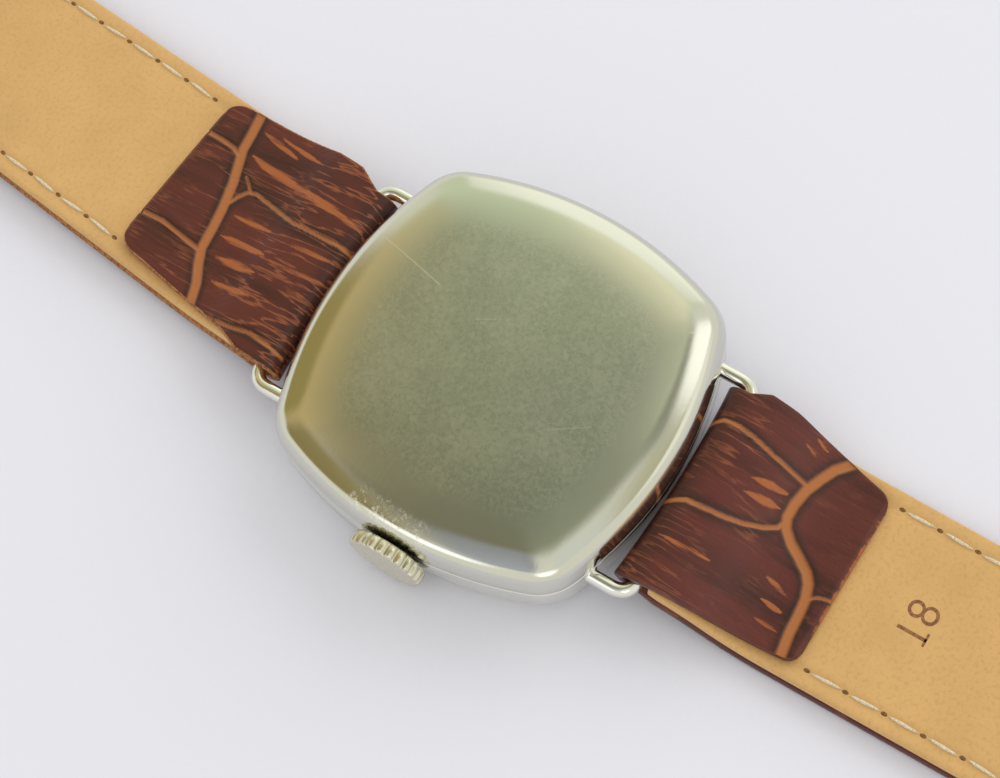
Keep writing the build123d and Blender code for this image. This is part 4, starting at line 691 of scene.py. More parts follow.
@dataclass
class Case:
    """Back shell, band, bezel and wire lugs."""

    outline: Cushion
    seam_z: float = 4.8
    seam_bevel: float = 0.1
    draw_z: float = 5.4
    edge_z: float = 7.0
    edge_inset: float = 0.5
    shoulder_inset: float = 2.4
    shoulder_z: float = 7.53
    panel_inset: float = 5.2
    panel_z: float = 7.88
    dome_inset: float = 8.0
    dome_z: float = 8.0
    top_z: float = 8.1
    wall: float = 0.6
    panel_rings: int = 14
    softening: float = 0.98
    soft_from: float = 0.7
    panel_fade: Point = (1.8, 6.2)
    crust: tuple[Point, ...] = ((-14.0, 3.2), (-14.1, 1.5), (-14.1, -0.3), (-14.3, -1.9))
    crust_fade: Point = (0.2, 1.5)
    band_z: Point = (2.2, 4.77)
    band_edge: float = 0.3
    band_round: Point = (0.12, 0.14)
    rim_inset: float = 0.66
    rim_z: float = 5.37
    bore: float = 12.5
    dial_bore: float = 13.2
    dial_z: float = 2.47
    bezel_inset: tuple[float, float, float, float] = (0.35, 0.45, 1.05, 1.9)
    bezel_z: float = 1.7
    bezel_round: Point = (1.0, 0.5)
    lip_bore: float = 12.95
    lip_z: float = 0.55
    groove_bore: float = 12.85
    groove_z: float = 0.62
    glass_z: float = 1.1
    glass_bore: float = 12.62
    opening: float = 12.25
    lug_wire: float = 1.2
    lug_half: float = 9.6
    lug_root: float = 13.0
    lug_bar: float = 17.2
    lug_bend: float = 1.5
    lug_z: float = 3.6

    def back(self, finish: Material) -> None:
        """Builds the pressed back: drawn side, soft edge, broad shoulder and a barely domed panel.

        Args:
            finish: the back's steel.
        """
        outside = rounded(
            (
                (self.seam_bevel, self.seam_z, 0),
                (0, self.seam_z + self.seam_bevel, self.seam_bevel),
                (0, self.draw_z, 2.0),
                (self.edge_inset, self.edge_z, 2.0),
                (self.shoulder_inset, self.shoulder_z, 7.0),
                (self.panel_inset, self.panel_z, 40.0),
                (self.dome_inset, self.dome_z, 0),
            ),
            9,
        )
        inside = [
            Vector((p.x + self.wall, p.y - (0 if p.y < self.draw_z else self.wall))) for p in outside[2:]
        ]
        rings, insets = [], []
        for share in [k / self.panel_rings for k in range(1, self.panel_rings)]:
            rings.append([Vector((p.x * share, p.y * share, p.z)) for p in self.turn(inside[-1])])
            insets.append(self.dome_inset)
        for point in inside[::-1] + outside:
            rings.append(self.turn(point))
            insets.append(point.x)
        edge = self.turn(outside[-1])
        for k in range(1, self.panel_rings + 1):
            share = 1 - (k - 0.3) / self.panel_rings
            lift = (self.top_z - outside[-1].y) * (1 - share * share)
            rings.append([Vector((p.x * share, p.y * share, p.z + lift)) for p in edge])
            insets.append(self.dome_inset + k)
        shape, rows = loft(rings, marks=("panel", "scuff"))
        panel, scuff = (shape.verts.layers.float[name] for name in ("panel", "scuff"))
        crust = [Vector(place) for place in self.crust]
        for row, inset in zip(rows, insets):
            for vert in row:
                vert[panel] = ease(*self.panel_fade, inset)
                near = min((vert.co.xy - place).length for place in crust)
                vert[scuff] = 1 - ease(*self.crust_fade, near)
        Piece("pressed_back", Body.BACK, Slot.CASE, [finish], ("case_back",)).place(shape)

    def turn(self, point: Vector) -> list[Vector]:
        """A turn of the outline at a profile point, softened where it lies far in."""
        return self.outline.ring(point.x, point.y, max(point.x - self.soft_from, 0) * self.softening)

    def hollow(
        self, name: str, stands_for: str, finish: Material, line: Sequence, steps: Sequence[Point]
    ) -> None:
        """Builds one round of the case from its outer profile and the steps of its bore.

        Args:
            name: what the piece is called.
            stands_for: the node that it replaces.
            finish: its steel.
            line: inset and height of each turn of the outline.
            steps: radius and height of each turn of the bore.
        """
        rings = [self.outline.ring(x, z) for x, z in line] + [self.outline.bore(r, z) for r, z in steps]
        Piece(name, Body.CASE, Slot.CASE, [finish], (stands_for,)).place(loft(rings, closed=True)[0])

    def middle(self, finish: Material) -> None:
        """Builds the band with its rim for the back, and the bezel, drawn in towards the crystal.

        Args:
            finish: their steel.
        """
        low, high = self.band_z
        edge, (lower, upper) = self.band_edge, self.band_round
        line = rounded(((edge, low, 0), (0, low, lower), (0, high, upper), (edge, high, 0)), 3)
        line += [(self.rim_inset, z) for z in (high, self.rim_z)]
        steps = ((self.bore, self.rim_z), (self.bore, self.dial_z))
        steps += ((self.dial_bore, self.dial_z), (self.dial_bore, low))
        self.hollow("middle_band", "case_band", finish, line, steps)
        levels = (low, self.bezel_z, self.lip_z, self.lip_z)
        line = rounded(tuple(zip(self.bezel_inset, levels, (0, *self.bezel_round, 0))), 6)
        steps = ((self.lip_bore, self.lip_z), (self.groove_bore, self.groove_z))
        steps += ((self.glass_bore, self.groove_z), (self.glass_bore, self.glass_z))
        steps += ((self.opening, self.glass_z), (self.opening, low))
        self.hollow("drawn_bezel", "bezel", finish, line, steps)

    def lugs(self, finish: Material) -> None:
        """Builds both bent wires, whose feet run into the band.

        Args:
            finish: the wires' steel.
        """
        for side, name in ((1, "twelve"), (-1, "six")):
            half, root, bar = self.lug_half, side * self.lug_root, side * self.lug_bar
            corners = [(x, bar, self.lug_bend) for x in (-half, half)]
            bends = ((-half, root, 0), *corners, (half, root, 0))
            path = [Vector((p.x, p.y, self.lug_z)) for p in rounded(bends, 10)]
            shape, _ = loft(sweep(path, oval(self.lug_wire / 2, self.lug_wire / 2, 1.0, 24)))
            Piece(f"bent_wire_{name}", Body.CASE, Slot.CASE, [finish], (f"wire_lug_{name}",)).place(shape)


@dataclass
class Crown:
    """The ribbed winding button."""

    radius: float = 3.15
    inner_x: float = 15.75
    z: float = 3.6
    neck: Point = (-0.7, 1.35)
    face_inset: float = 0.3
    flank: float = 1.15
    dome: float = 0.35
    dome_rings: int = 12
    bevel: float = 0.18
    ribs: int = 22
    rib_depth: float = 0.24
    rib_sharpness: float = 2.2
    rib_points: int = 12

    def build(self, finish: Material) -> None:
        """Builds the crown, with rounded ribs that fade out at both bevels.

        Args:
            finish: the crown's metal.
        """
        face = self.radius - self.face_inset
        profile = [(*self.neck, 0.0), (0.0, self.neck[1], 0.0), (0.0, face, 0.0)]
        profile += [(0.03, self.radius - 0.12, 0.6), (self.bevel, self.radius, 1.0)]
        profile += [(self.flank - self.bevel, self.radius, 1.0), (self.flank - 0.03, self.radius - 0.1, 0.7)]
        profile += [(self.flank, face, 0.0)]
        for k in range(1, self.dome_rings):
            share = 1 - k / self.dome_rings
            profile.append((self.flank + self.dome * (1 - share**2), face * share, 0.0))
        profile[-1] = (self.flank + self.dome, 0.06, 0.0)
        rings = []
        count = self.ribs * self.rib_points
        for along, radius, ribbed in profile:
            ring = []
            for k in range(count):
                wave = (0.5 + 0.5 * cos(2 * pi * k / self.rib_points)) ** self.rib_sharpness
                r = radius - self.rib_depth * ribbed * wave
                a = 2 * pi * k / count
                ring.append(Vector((-self.inner_x - along, r * cos(a), self.z + r * sin(a))))
            rings.append(ring)
        Piece("ribbed_crown", Body.CROWN, Slot.CASE, [finish], ("crown",), SOFT_CREASE).place(loft(rings)[0])


# Strap


@dataclass
class Strap:
    """One half of the strap: outer leather turned round the case's bar, lining and seams.

    Distances run out from the bar, heights are over the strap's own underside, and a plan lists
    distances with the left and right edges there.
    """

    name: str
    side: int
    body: Body
    lift: float
    run: Plan
    flap: Plan
    grooves: Sequence[tuple[float, Sequence[Point]]]
    rubs: Sequence[tuple[float, float, float, float, float]]
    flap_skew: float = 0.0
    end_slope: float = 0.0
    tip_round: float = 0.0
    creased: float = 1.0
    calm: float = 0.0
    flap_round: float = 1.7
    holes: int = 0
    first_hole: float = 79.2
    hole_pitch: float = 6.0
    hole_radius: float = 0.85
    bar_y: float = 17.2
    bar_z: float = 3.6
    loop_outer: float = 1.45
    loop_inner: float = 0.65
    loop_run: float = 2.3
    outer_top: float = 0.8
    lining_top: float = 1.7
    flap_top: float = 2.4
    settle: float = 11.0
    half: float = 9.0
    edge: float = 0.16
    bow: float = 0.45
    near_step: float = 0.8
    far_step: float = 1.2
    end_run: float = 22.0
    pared: float = 0.3
    pared_run: float = 0.35
    fine: float = 0.13
    across: int = 140
    folds: int = 24
    coarse: float = 0.72
    sink: float = 0.17
    lining_start: float = 1.15
    lining_inset: float = 0.2
    lining_across: int = 60
    lining_rows: int = 140
    seam_inset: float = 1.55
    seam_sink: float = 0.07
    seam_fade: Point = (0.1, 0.55)
    seam_start: float = 0.9
    seam_stop: float = 3.0
    stitch: float = 3.2
    thread_half: float = 0.15
    thread_rows: tuple[Point, Point] = ((1.66, 0.14), (0.01, 0.098))
    prick_z: float = 1.62
    prick_half: tuple[float, float, float] = (0.3, 0.2, 0.05)

    def fall(self, start: float, flat: float, out: float) -> float:
        """Height of a layer that leaves the bar level and settles in two equal arcs.

        Args:
            start: height over the bar.
            flat: height where it lies.
            out: distance from the bar.

        Returns:
            The height.
        """
        drop = start - flat
        radius = (self.settle**2 + drop**2) / (4 * drop)
        if out <= self.settle / 2:
            return start - radius + sqrt(radius**2 - max(out, 0) ** 2)
        left = max(self.settle - out, 0)
        return flat + radius - sqrt(radius**2 - left**2)

    def limits(self, plan: Plan, out: float) -> Point:
        """Finds both edges of a plan.

        Args:
            plan: the plan.
            out: distance from the bar.

        Returns:
            The left and the right edge.
        """
        for (a, left_a, right_a), (b, left_b, right_b) in zip(plan, plan[1:]):
            if out <= b:
                t = (out - a) / (b - a)
                return left_a + (left_b - left_a) * t, right_a + (right_b - right_a) * t
        return plan[-1][1:]

    def corner(self, out: float, end: float, radius: float) -> float:
        """How far a rounded corner draws an edge in, at a distance from the bar."""
        over = max(out - (end - radius), 0)
        return radius - sqrt(max(radius**2 - min(over, radius) ** 2, 0))

    def section(self, left: float, right: float, grain: Vector, flesh: Vector, count: int) -> list[Vector]:
        """A cross section of one layer.

        Args:
            left: lower x limit.
            right: upper x limit.
            grain: place of the grain face, as (y, z).
            flesh: place of the flesh face, as (y, z).
            count: points across the grain face.

        Returns:
            The ring: grain face, right edge, flesh face and left edge.
        """
        room = right - left - 2 * self.edge
        places = [(left + self.edge + room * k / (count - 1), 0.0) for k in range(count)]
        swing = [radians(a) for a in (60, 25, -25, -60)]
        places += [(right - self.edge + self.edge * cos(a), 0.5 - 0.5 * sin(a)) for a in swing]
        back = [k / 7 for k in range(8)]
        places += [(right - self.edge - room * t, 1.0) for t in back]
        places += [(left + self.edge - self.edge * cos(a), 0.5 + 0.5 * sin(a)) for a in swing]
        return [Vector((x, *grain.lerp(flesh, t))) for x, t in places]

    def stations(self, length: float) -> list[float]:
        """Spaces the sections of a run, close together on the fall and wider beyond it.

        Args:
            length: how long the run is.

        Returns:
            Distances from the bar.
        """
        near = [self.near_step * k for k in range(int(self.settle / self.near_step) + 1)]
        far = int((length - near[-1]) / self.far_step)
        return near + [near[-1] + (length - near[-1]) * (k + 1) / far for k in range(far)]

    def square_end(self, ring: list[Vector], out: float, length: float) -> list[Vector]:
        """Turns the last stretch of a run square to its own drift.

        Args:
            ring: a section of the run.
            out: its distance from the bar.
            length: how long the run is.

        Returns:
            The turned section.
        """
        if not self.end_slope:
            return ring
        middle = sum(self.run[-1][1:]) / 2
        share = ease(length - self.end_run, length, out)
        return [Vector((p.x, p.y - self.side * (p.x - middle) * self.end_slope * share, p.z)) for p in ring]

    def outer(self) -> Shape:
        """Builds the outer leather as one strip: the long run, the turn round the bar and the flap.

        Returns:
            The strip's shape.
        """
        rings, marks = [], []
        length, reach = self.run[-1][0], self.flap[-1][0]
        for out in reversed(self.stations(length)):
            left, right = self.limits(self.run, out)
            pull = self.corner(out, length, self.tip_round)
            y = self.side * (self.bar_y + out)
            grain = Vector((y, self.fall(self.bar_z - self.loop_outer, self.lift, out)))
            back = Vector((y, self.fall(self.bar_z - self.loop_inner, self.lift + self.outer_top, out)))
            ring = self.section(left + pull, right - pull, grain, back, self.across)
            rings.append(self.square_end(ring, out, length))
            marks.append(-out - self.loop_run)
        for k in range(1, self.folds):
            a = -pi / 2 + pi * k / self.folds
            grain, back = (
                Vector((self.side * (self.bar_y - r * cos(a)), self.bar_z + r * sin(a)))
                for r in (self.loop_outer, self.loop_inner)
            )
            ring = self.section(*self.limits(self.flap, 0), grain, back, self.across)
            for point in ring:
                point.y -= self.side * self.bow * cos(a) * (point.x / self.half) ** 2
            rings.append(ring)
            marks.append(-self.loop_run + self.loop_run * k / self.folds)
        steps = int(reach / self.fine)
        for k in range(steps + 1):
            out = reach * k / steps
            left, right = self.limits(self.flap, out)
            pull = self.corner(out, reach, self.flap_round)
            skew = self.flap_skew * (out / reach) ** 2
            thin = self.pared * ease(reach - self.pared_run, reach, out)
            top = self.fall(self.bar_z + self.loop_outer, self.lift + self.flap_top, out) - thin
            low = self.fall(self.bar_z + self.loop_inner, self.lift + self.lining_top, out) + thin * 0.3
            ring = self.section(left + pull, right - pull, Vector((0, top)), Vector((0, low)), self.across)
            for point in ring:
                point.y = self.side * (self.bar_y + out + skew * point.x)
            rings.append(ring)
            marks.append(out)
        shape, rows = loft(rings, marks=("groove", "dye_and_fold_shade", "streak", "crease", "run"))
        self.emboss(shape, rows, marks)
        self.sort_faces(shape, rows)
        return shape

    def emboss(self, shape: Shape, rows: list[list], marks: Sequence[float]) -> None:
        """Writes the grooves, the dark dye beside them, the painted shade at the fold round the bar, the rubs
        and the creased area, and sinks the grooves.

        Args:
            shape: the strip.
            rows: its vertices.
            marks: each row's distance past the top of the bar, negative before it.
        """
        groove, dye_and_fold_shade, streak, crease, run = (
            shape.verts.layers.float[name] for name in ("groove", "dye_and_fold_shade", "streak", "crease", "run")
        )
        for row, out in zip(rows, marks):
            for vert in row[: self.across]:
                if out < -self.loop_run:
                    vert[run] = self.coarse
                    continue
                here = vert.co.xy
                depth, near = 0.0, 9.0
                if out > -1.6:
                    for half, line in self.grooves:
                        gap, _ = self.gap(here, line)
                        near = min(near, gap - half)
                        depth = max(depth, 1 - ease(half * 0.55, half * 1.25, gap))
                    for x0, y0, x1, y1, half in self.rubs:
                        gap, t = self.gap(here, ((x0, y0), (x1, y1)))
                        room = half * sin(pi * min(max(t, 0.03), 0.97)) ** 0.7 + 0.04
                        vert[streak] = max(vert[streak], 1 - ease(0.35, 1.1, gap / room))
                vert[groove] = depth
                # Dark dye beside the grooves, and painted shade over the fold round the bar
                vert[dye_and_fold_shade] = max((1 - ease(0.0, 0.75, near)) * (1 - depth), 1 - ease(-1.4, 1.0, out))
                vert[crease] = self.creased * (1 - ease(1.5, 8.5, out)) - self.calm
                vert.co.z -= self.sink * depth * ease(-0.2, 1.2, out)

    @staticmethod
    def gap(here: Vector, line: Sequence[Point]) -> Point:
        """Finds the nearest point of a line.

        Args:
            here: a place.
            line: the line's points.

        Returns:
            The distance, and the share of the nearest run that is passed there.
        """
        best = (99.0, 0.0)
        for (ax, ay), (bx, by) in zip(line, line[1:]):
            rx, ry = bx - ax, by - ay
            t = min(max(((here.x - ax) * rx + (here.y - ay) * ry) / max(rx * rx + ry * ry, 1e-9), 0), 1)
            gap = sqrt((here.x - ax - rx * t) ** 2 + (here.y - ay - ry * t) ** 2)
            if gap < best[0]:
                best = (gap, t)
        return best

    def sort_faces(self, shape: Shape, rows: list[list]) -> None:
        """Gives the grain, edge and flesh faces their material numbers.

        Args:
            shape: the strip.
            rows: its vertices.
        """
        column = {vert: k for row in rows for k, vert in enumerate(row)}
        for face in shape.faces:
            places = {column[v] for v in face.verts}
            if max(places) < self.across:
                face.material_index = 0
            elif min(places) >= self.across + 4 and max(places) < self.across + 12:
                face.material_index = 2
            else:
                face.material_index = 1

    def lining(self) -> Shape:
        """Builds the lining, with a shallow channel along each seam.

        Returns:
            The lining's shape.
        """
        length, start = self.run[-1][0], self.lining_start
        rings = []
        outs = [start + (length - start) * k / self.lining_rows for k in range(self.lining_rows + 1)]
        for out in outs:
            left, right = self.limits(self.run, out)
            pull = self.corner(out, length, self.tip_round) + self.lining_inset
            y = self.side * (self.bar_y + out)
            top = Vector((y, self.fall(self.bar_z + self.loop_inner, self.lift + self.lining_top, out)))
            low = Vector((y, self.fall(self.bar_z - self.loop_inner, self.lift + self.outer_top, out)))
            ring = self.section(left + pull, right - pull, top, low, self.lining_across)
            rings.append(self.square_end(ring, out, length))
        shape, rows = loft(rings, marks=("channel",))
        channel = shape.verts.layers.float["channel"]
        for row, out in zip(rows, outs):
            for vert in row[: self.lining_across]:
                near = min(abs(vert.co.x - x) for x in self.seams(out))
                # The channel mask both sinks the channel and darkens it with painted shade
                vert[channel] = 1 - ease(*self.seam_fade, near)
                vert.co.z -= self.seam_sink * vert[channel]
        return shape

    def seams(self, out: float) -> Point:
        """The x of both seams at a distance from the bar."""
        left, right = self.limits(self.run, out)
        return left + self.seam_inset, right - self.seam_inset

    def stitches(self) -> Shape:
        """Builds the thread of both seams, on both faces of the strap, and a dark flat bead of painted shade
        at each pricked hole.

        Returns:
            The shape of all stitches.
        """
        shape = bmesh.new()
        first = self.flap[-1][0] + self.seam_start
        rolled = random.Random(7 + self.side)
        for row in (0, 1):
            for k in range(int((self.run[-1][0] - first - self.seam_stop) / self.stitch)):
                out = first + self.stitch * k
                start, end = (
                    Vector((self.seams(place)[row], self.side * (self.bar_y + place)))
                    for place in (out, out + self.stitch)
                )
                run, middle = end - start, (start + end) / 2
                heading = atan2(run.y, run.x) + radians(rolled.uniform(-4, 4))
                for z, height in self.thread_rows:
                    half = (self.stitch * 0.4, self.thread_half, height)
                    self.bead(shape, (*middle, self.lift + z), half, heading)
                # A dark flat bead paints the shade of the pricked hole
                made = self.bead(shape, (*start, self.lift + self.prick_z), self.prick_half, heading)
                for face in {f for v in made for f in v.link_faces}:
                    face.material_index = 1
        return shape

    @staticmethod
    def bead(shape: Shape, place: Sequence[float], size: Sequence[float], heading: float) -> list:
        """Adds one small rounded bead to a shape.

        Args:
            shape: the shape that gets it.
            place: its middle.
            size: half its length, width and height.
            heading: its turn about the upright.

        Returns:
            The bead's vertices.
        """
        matrix = shifted(place, size, heading)
        ball = bmesh.ops.create_uvsphere(shape, u_segments=8, v_segments=6, radius=1.0, matrix=matrix)
        return ball["verts"]

    def punched(self, shape: Shape) -> bpy.types.Mesh:
        """Cuts the row of buckle holes through a layer.

        Args:
            shape: the layer, in millimetres, which is freed.

        Returns:
            The layer's mesh, in metres.
        """
        bmesh.ops.recalc_face_normals(shape, faces=shape.faces[:])
        punch = bmesh.new()
        for k in range(self.holes):
            place = shifted((0, self.side * (self.first_hole + self.hole_pitch * k), 1.0))
            radii = {"radius1": self.hole_radius, "radius2": self.hole_radius}
            bmesh.ops.create_cone(punch, cap_ends=True, segments=28, depth=8.0, matrix=place, **radii)
        carriers = []
        for name, form in (("blank", shape), ("punch", punch)):
            mesh = bpy.data.meshes.new(name)
            form.to_mesh(mesh)
            form.free()
            carriers.append(link(name, mesh))
        cut = carriers[0].modifiers.new("cut", "BOOLEAN")
        cut.operation, cut.object, cut.solver = "DIFFERENCE", carriers[1], "EXACT"
        mesh = settled(carriers[0])
        for carrier in carriers:
            bpy.data.objects.remove(carrier)
        mesh.transform(Matrix.Scale(MM, 4))
        mesh.materials.clear()
        return mesh

    def build(self, leather: Materials, lining: Materials, seam: Materials) -> None:
        """Builds and dresses the outer leather, the lining and the seams.

        Args:
            leather: grain, cut edge and flesh of the outer leather.
            lining: the same of the lining.
            seam: thread, and the painted shade of each pricked hole.
        """
        for part, slot, finishes, stands_for, shape in (
            ("leather", Slot.BROWN, leather, "outer", self.outer()),
            ("buffed", Slot.TAN, lining, "lining", self.lining()),
        ):
            node = f"strap_{self.name}_{stands_for}"
            piece = Piece(f"strap_{part}_{self.name}", self.body, slot, finishes, (node,), SOFT_CREASE)
            if self.holes:
                piece.adopt(self.punched(shape))
            else:
                piece.place(shape)
        Piece(f"seam_{self.name}", self.body, Slot.TAN, seam).place(self.stitches())


@dataclass
class StrapEnd:
    """The buckle's end of the twelve o'clock strap, in a frame that lies along the strap there."""

    at: Vector
    turn: float = radians(-6.033)
    half: float = 8.0
    slot: float = 1.3
    bar_radius: float = 0.65
    leather: float = 0.7
    lining_top: float = 2.45
    ear_z: Point = (0.75, 1.55)
    tail: float = 9.0
    tail_pared: float = 0.3
    ear_steps: int = 14
    across: int = 24
    rounding: float = 0.12
    widening_run: float = 73.8
    keeper_room: float = 0.65
    fixed_back: float = 11.5
    loose_back: float = 22.0
    loose_travel: float = 12.0
    keeper_z: Point = (0.35, 4.7)
    keeper_bend: float = 1.0
    keeper_half: Point = (0.35, 2.5)
    coarse: float = 0.72
    bow_half: float = 9.35
    bow_y: Point = (-1.5, 10.6)
    bow_bend: float = 2.4
    bow_z: float = 1.88
    bow_section: Point = (0.95, 1.2)
    eye_radius: float = 0.65 + 0.275
    eye_steps: int = 20
    blade_half: Point = (0.8, 0.26)
    blade_taper: float = 0.22
    blade_y: tuple[float, float, float] = (1.6, 9.4, 12.0)
    blade_z: tuple[float, float, float] = (0.98, 0.36, 0.34)

    def carried(self, shape: Shape) -> Shape:
        """Moves a finished shape from the strap's own frame to its place.

        Args:
            shape: the shape.

        Returns:
            The same shape.
        """
        place = shifted((self.at.x, self.at.y, 0), turn=self.turn)
        bmesh.ops.transform(shape, matrix=place, verts=shape.verts[:])
        return shape

    def turned_leather(self) -> Shape:
        """Builds the skived leather that turns round the buckle's bar and is sewn back on the lining.

        Returns:
            The shape of both ears and the tail that joins them.
        """
        z, inner = self.at.z, self.bar_radius
        outer = inner + self.leather
        grain_top = self.lining_top + self.leather
        shape = bmesh.new()
        for low, high in ((-self.half, -self.slot), (self.slot, self.half)):
            path = [tuple(Vector((-outer, height)) for height in self.ear_z)]
            for k in range(self.ear_steps + 1):
                a = -pi / 2 + pi * k / self.ear_steps
                path.append(tuple(Vector((r * cos(a), z + r * sin(a))) for r in (outer, inner)))
            path.append((Vector((-outer * 0.6, z + outer + 0.12)), Vector((-outer * 0.6, z + 0.62))))
            path.append((Vector((-outer, grain_top)), Vector((-outer, self.lining_top))))
            self.strip(shape, path, low, high)
        path = []
        for t in (0, 0.2, 0.4, 0.6, 0.8, 0.95, 1.0):
            y = -outer - (self.tail - outer) * t
            path.append((Vector((y, grain_top - self.tail_pared * t)), Vector((y, self.lining_top))))
        self.strip(shape, path, -self.half, self.half)
        return self.carried(shape)

    def strip(self, shape: Shape, path: Sequence[tuple[Vector, Vector]], low: float, high: float) -> None:
        """Adds a strip of leather to a shape.

        Args:
            shape: the shape that gets it.
            path: grain and flesh places, as (y, z), along the strip.
            low: its lower x limit.
            high: its upper x limit.
        """
        rings = []
        room = high - low - 2 * self.rounding
        xs = [low + self.rounding + room * k / (self.across - 1) for k in range(self.across)]
        for grain, flesh in path:
            ring = [Vector((x, *grain)) for x in xs]
            ring += [Vector((high, *grain.lerp(flesh, t))) for t in (0.3, 0.7)]
            ring += [Vector((x, *flesh)) for x in reversed(xs)]
            ring += [Vector((low, *grain.lerp(flesh, t))) for t in (0.7, 0.3)]
            rings.append(ring)
        made, _ = loft(rings)
        bmesh.ops.recalc_face_normals(made, faces=made.faces[:])
        join(shape, made)

    def keeper(self, back: float, travel: float = 0.0) -> Shape:
        """Builds one keeper: a band of leather closed round the strap.

        Args:
            back: its distance before the buckle's bar.
            travel: how far it slides up the widening strap.

        Returns:
            The keeper's shape.
        """
        half = self.half + (back + travel) / self.widening_run + self.keeper_room
        (low, high), bend = self.keeper_z, self.keeper_bend
        upper = ((half, low, bend), (half, high, bend), (-half, high, bend), (-half, low, bend))
        thick, wide = self.keeper_half
        path = [Vector((p.x, -back - wide, p.y)) for p in rounded(((0, low, 0), *upper, (0, low, 0)), 7)[:-1]]
        section = oval(thick, wide, 0.35, 28)
        rings = []
        for k, here in enumerate(path):
            run = (path[(k + 1) % len(path)] - path[k - 1]).normalized()
            side = Vector((run.z, 0, -run.x))
            rings.append([here + side * p.x + Vector((0, p.y, 0)) for p in section])
        shape, _ = loft(rings, closed=True, marks=("run",))
        run_layer = shape.verts.layers.float["run"]
        for vert in shape.verts:
            vert[run_layer] = self.coarse
        return self.carried(shape)

    def frame(self) -> Shape:
        """Builds the buckle's frame: a rounded bow whose two ends hold the bar.

        Returns:
            The frame's shape.
        """
        half, (low, high), bend = self.bow_half, self.bow_y, self.bow_bend
        bends = ((-half, low, 0), (-half, high, bend), (half, high, bend), (half, low, 0))
        path = [Vector((p.x, p.y, self.bow_z)) for p in rounded(bends, 10)]
        return self.carried(loft(sweep(path, oval(*self.bow_section, 0.55, 32)))[0])

    def tongue(self) -> Shape:
        """Builds the tongue: an eye curled round the bar and a blade that rests on the frame.

        Returns:
            The tongue's shape.
        """
        z, eye = self.at.z, self.eye_radius
        turns = [pi / 2 + 0.25 + (2 * pi - 0.6) * k / self.eye_steps for k in range(self.eye_steps + 1)]
        line = [Vector((eye * cos(a), z + eye * sin(a))) for a in turns]
        bends = tuple(zip(self.blade_y, self.blade_z, (2.0, 4.0, 0)))
        blade = rounded(((line[-1].x, line[-1].y, 0), *bends), 6)
        path = [Vector((0, p.x, p.y)) for p in line + blade[1:]]
        half, thick = self.blade_half
        rings = []
        for k, here in enumerate(path):
            run = (path[min(k + 1, len(path) - 1)] - path[max(k - 1, 0)]).normalized()
            lift = Vector((0, -run.z, run.y))
            narrowed = self.blade_taper * max(k - len(line), 0) / (len(path) - len(line))
            section = oval(half - narrowed, thick, 0.5, 20)
            rings.append([here + Vector((p.x, 0, 0)) + lift * p.y for p in section])
        return self.carried(loft(rings)[0])

    def build(self, leather: Material, steel: Material) -> None:
        """Builds and dresses the turned end, both keepers, the frame and the tongue.

        Args:
            leather: the strap's embossed grain.
            steel: the buckle's steel.
        """
        for name, body, stands_for, shape in (
            ("strap_end_turned", Body.STRAP_TWELVE, (), self.turned_leather()),
            ("keeper_sewn", Body.STRAP_TWELVE, ("fixed_keeper",), self.keeper(self.fixed_back)),
            ("keeper_free", Body.KEEPER, ("loose_keeper",), self.keeper(self.loose_back, self.loose_travel)),
        ):
            Piece(name, body, Slot.BROWN, [leather], stands_for, SOFT_CREASE).place(shape)
        Piece("buckle_bow", Body.BUCKLE, Slot.BUCKLE, [steel], ("buckle_frame",)).place(self.frame())
        Piece("buckle_blade", Body.TONGUE, Slot.BUCKLE, [steel], ("buckle_tongue",)).place(self.tongue())
        dress(steel, "buckle_bar")


# Print


def figures(body: str, size: float, weight: float = 0.0) -> Shape:
    """Turns a few figures into a flat shape round the origin, in millimetres.

    Args:
        body: the figures.
        size: their height.
        weight: how far their outline grows, or shrinks where it is negative.

    Returns:
        The shape.
    """
    curve = bpy.data.curves.new("figures", "FONT")
    curve.body, curve.size = body, size * 1.4
    curve.align_x, curve.align_y, curve.extrude, curve.offset = "CENTER", "CENTER", 0.004, weight
    carrier = link("figures", curve)
    mesh = settled(carrier)
    shape = bmesh.new()
    shape.from_mesh(mesh)
    bpy.data.objects.remove(carrier)
    bpy.data.curves.remove(curve)
    bpy.data.meshes.remove(mesh)
    return shape


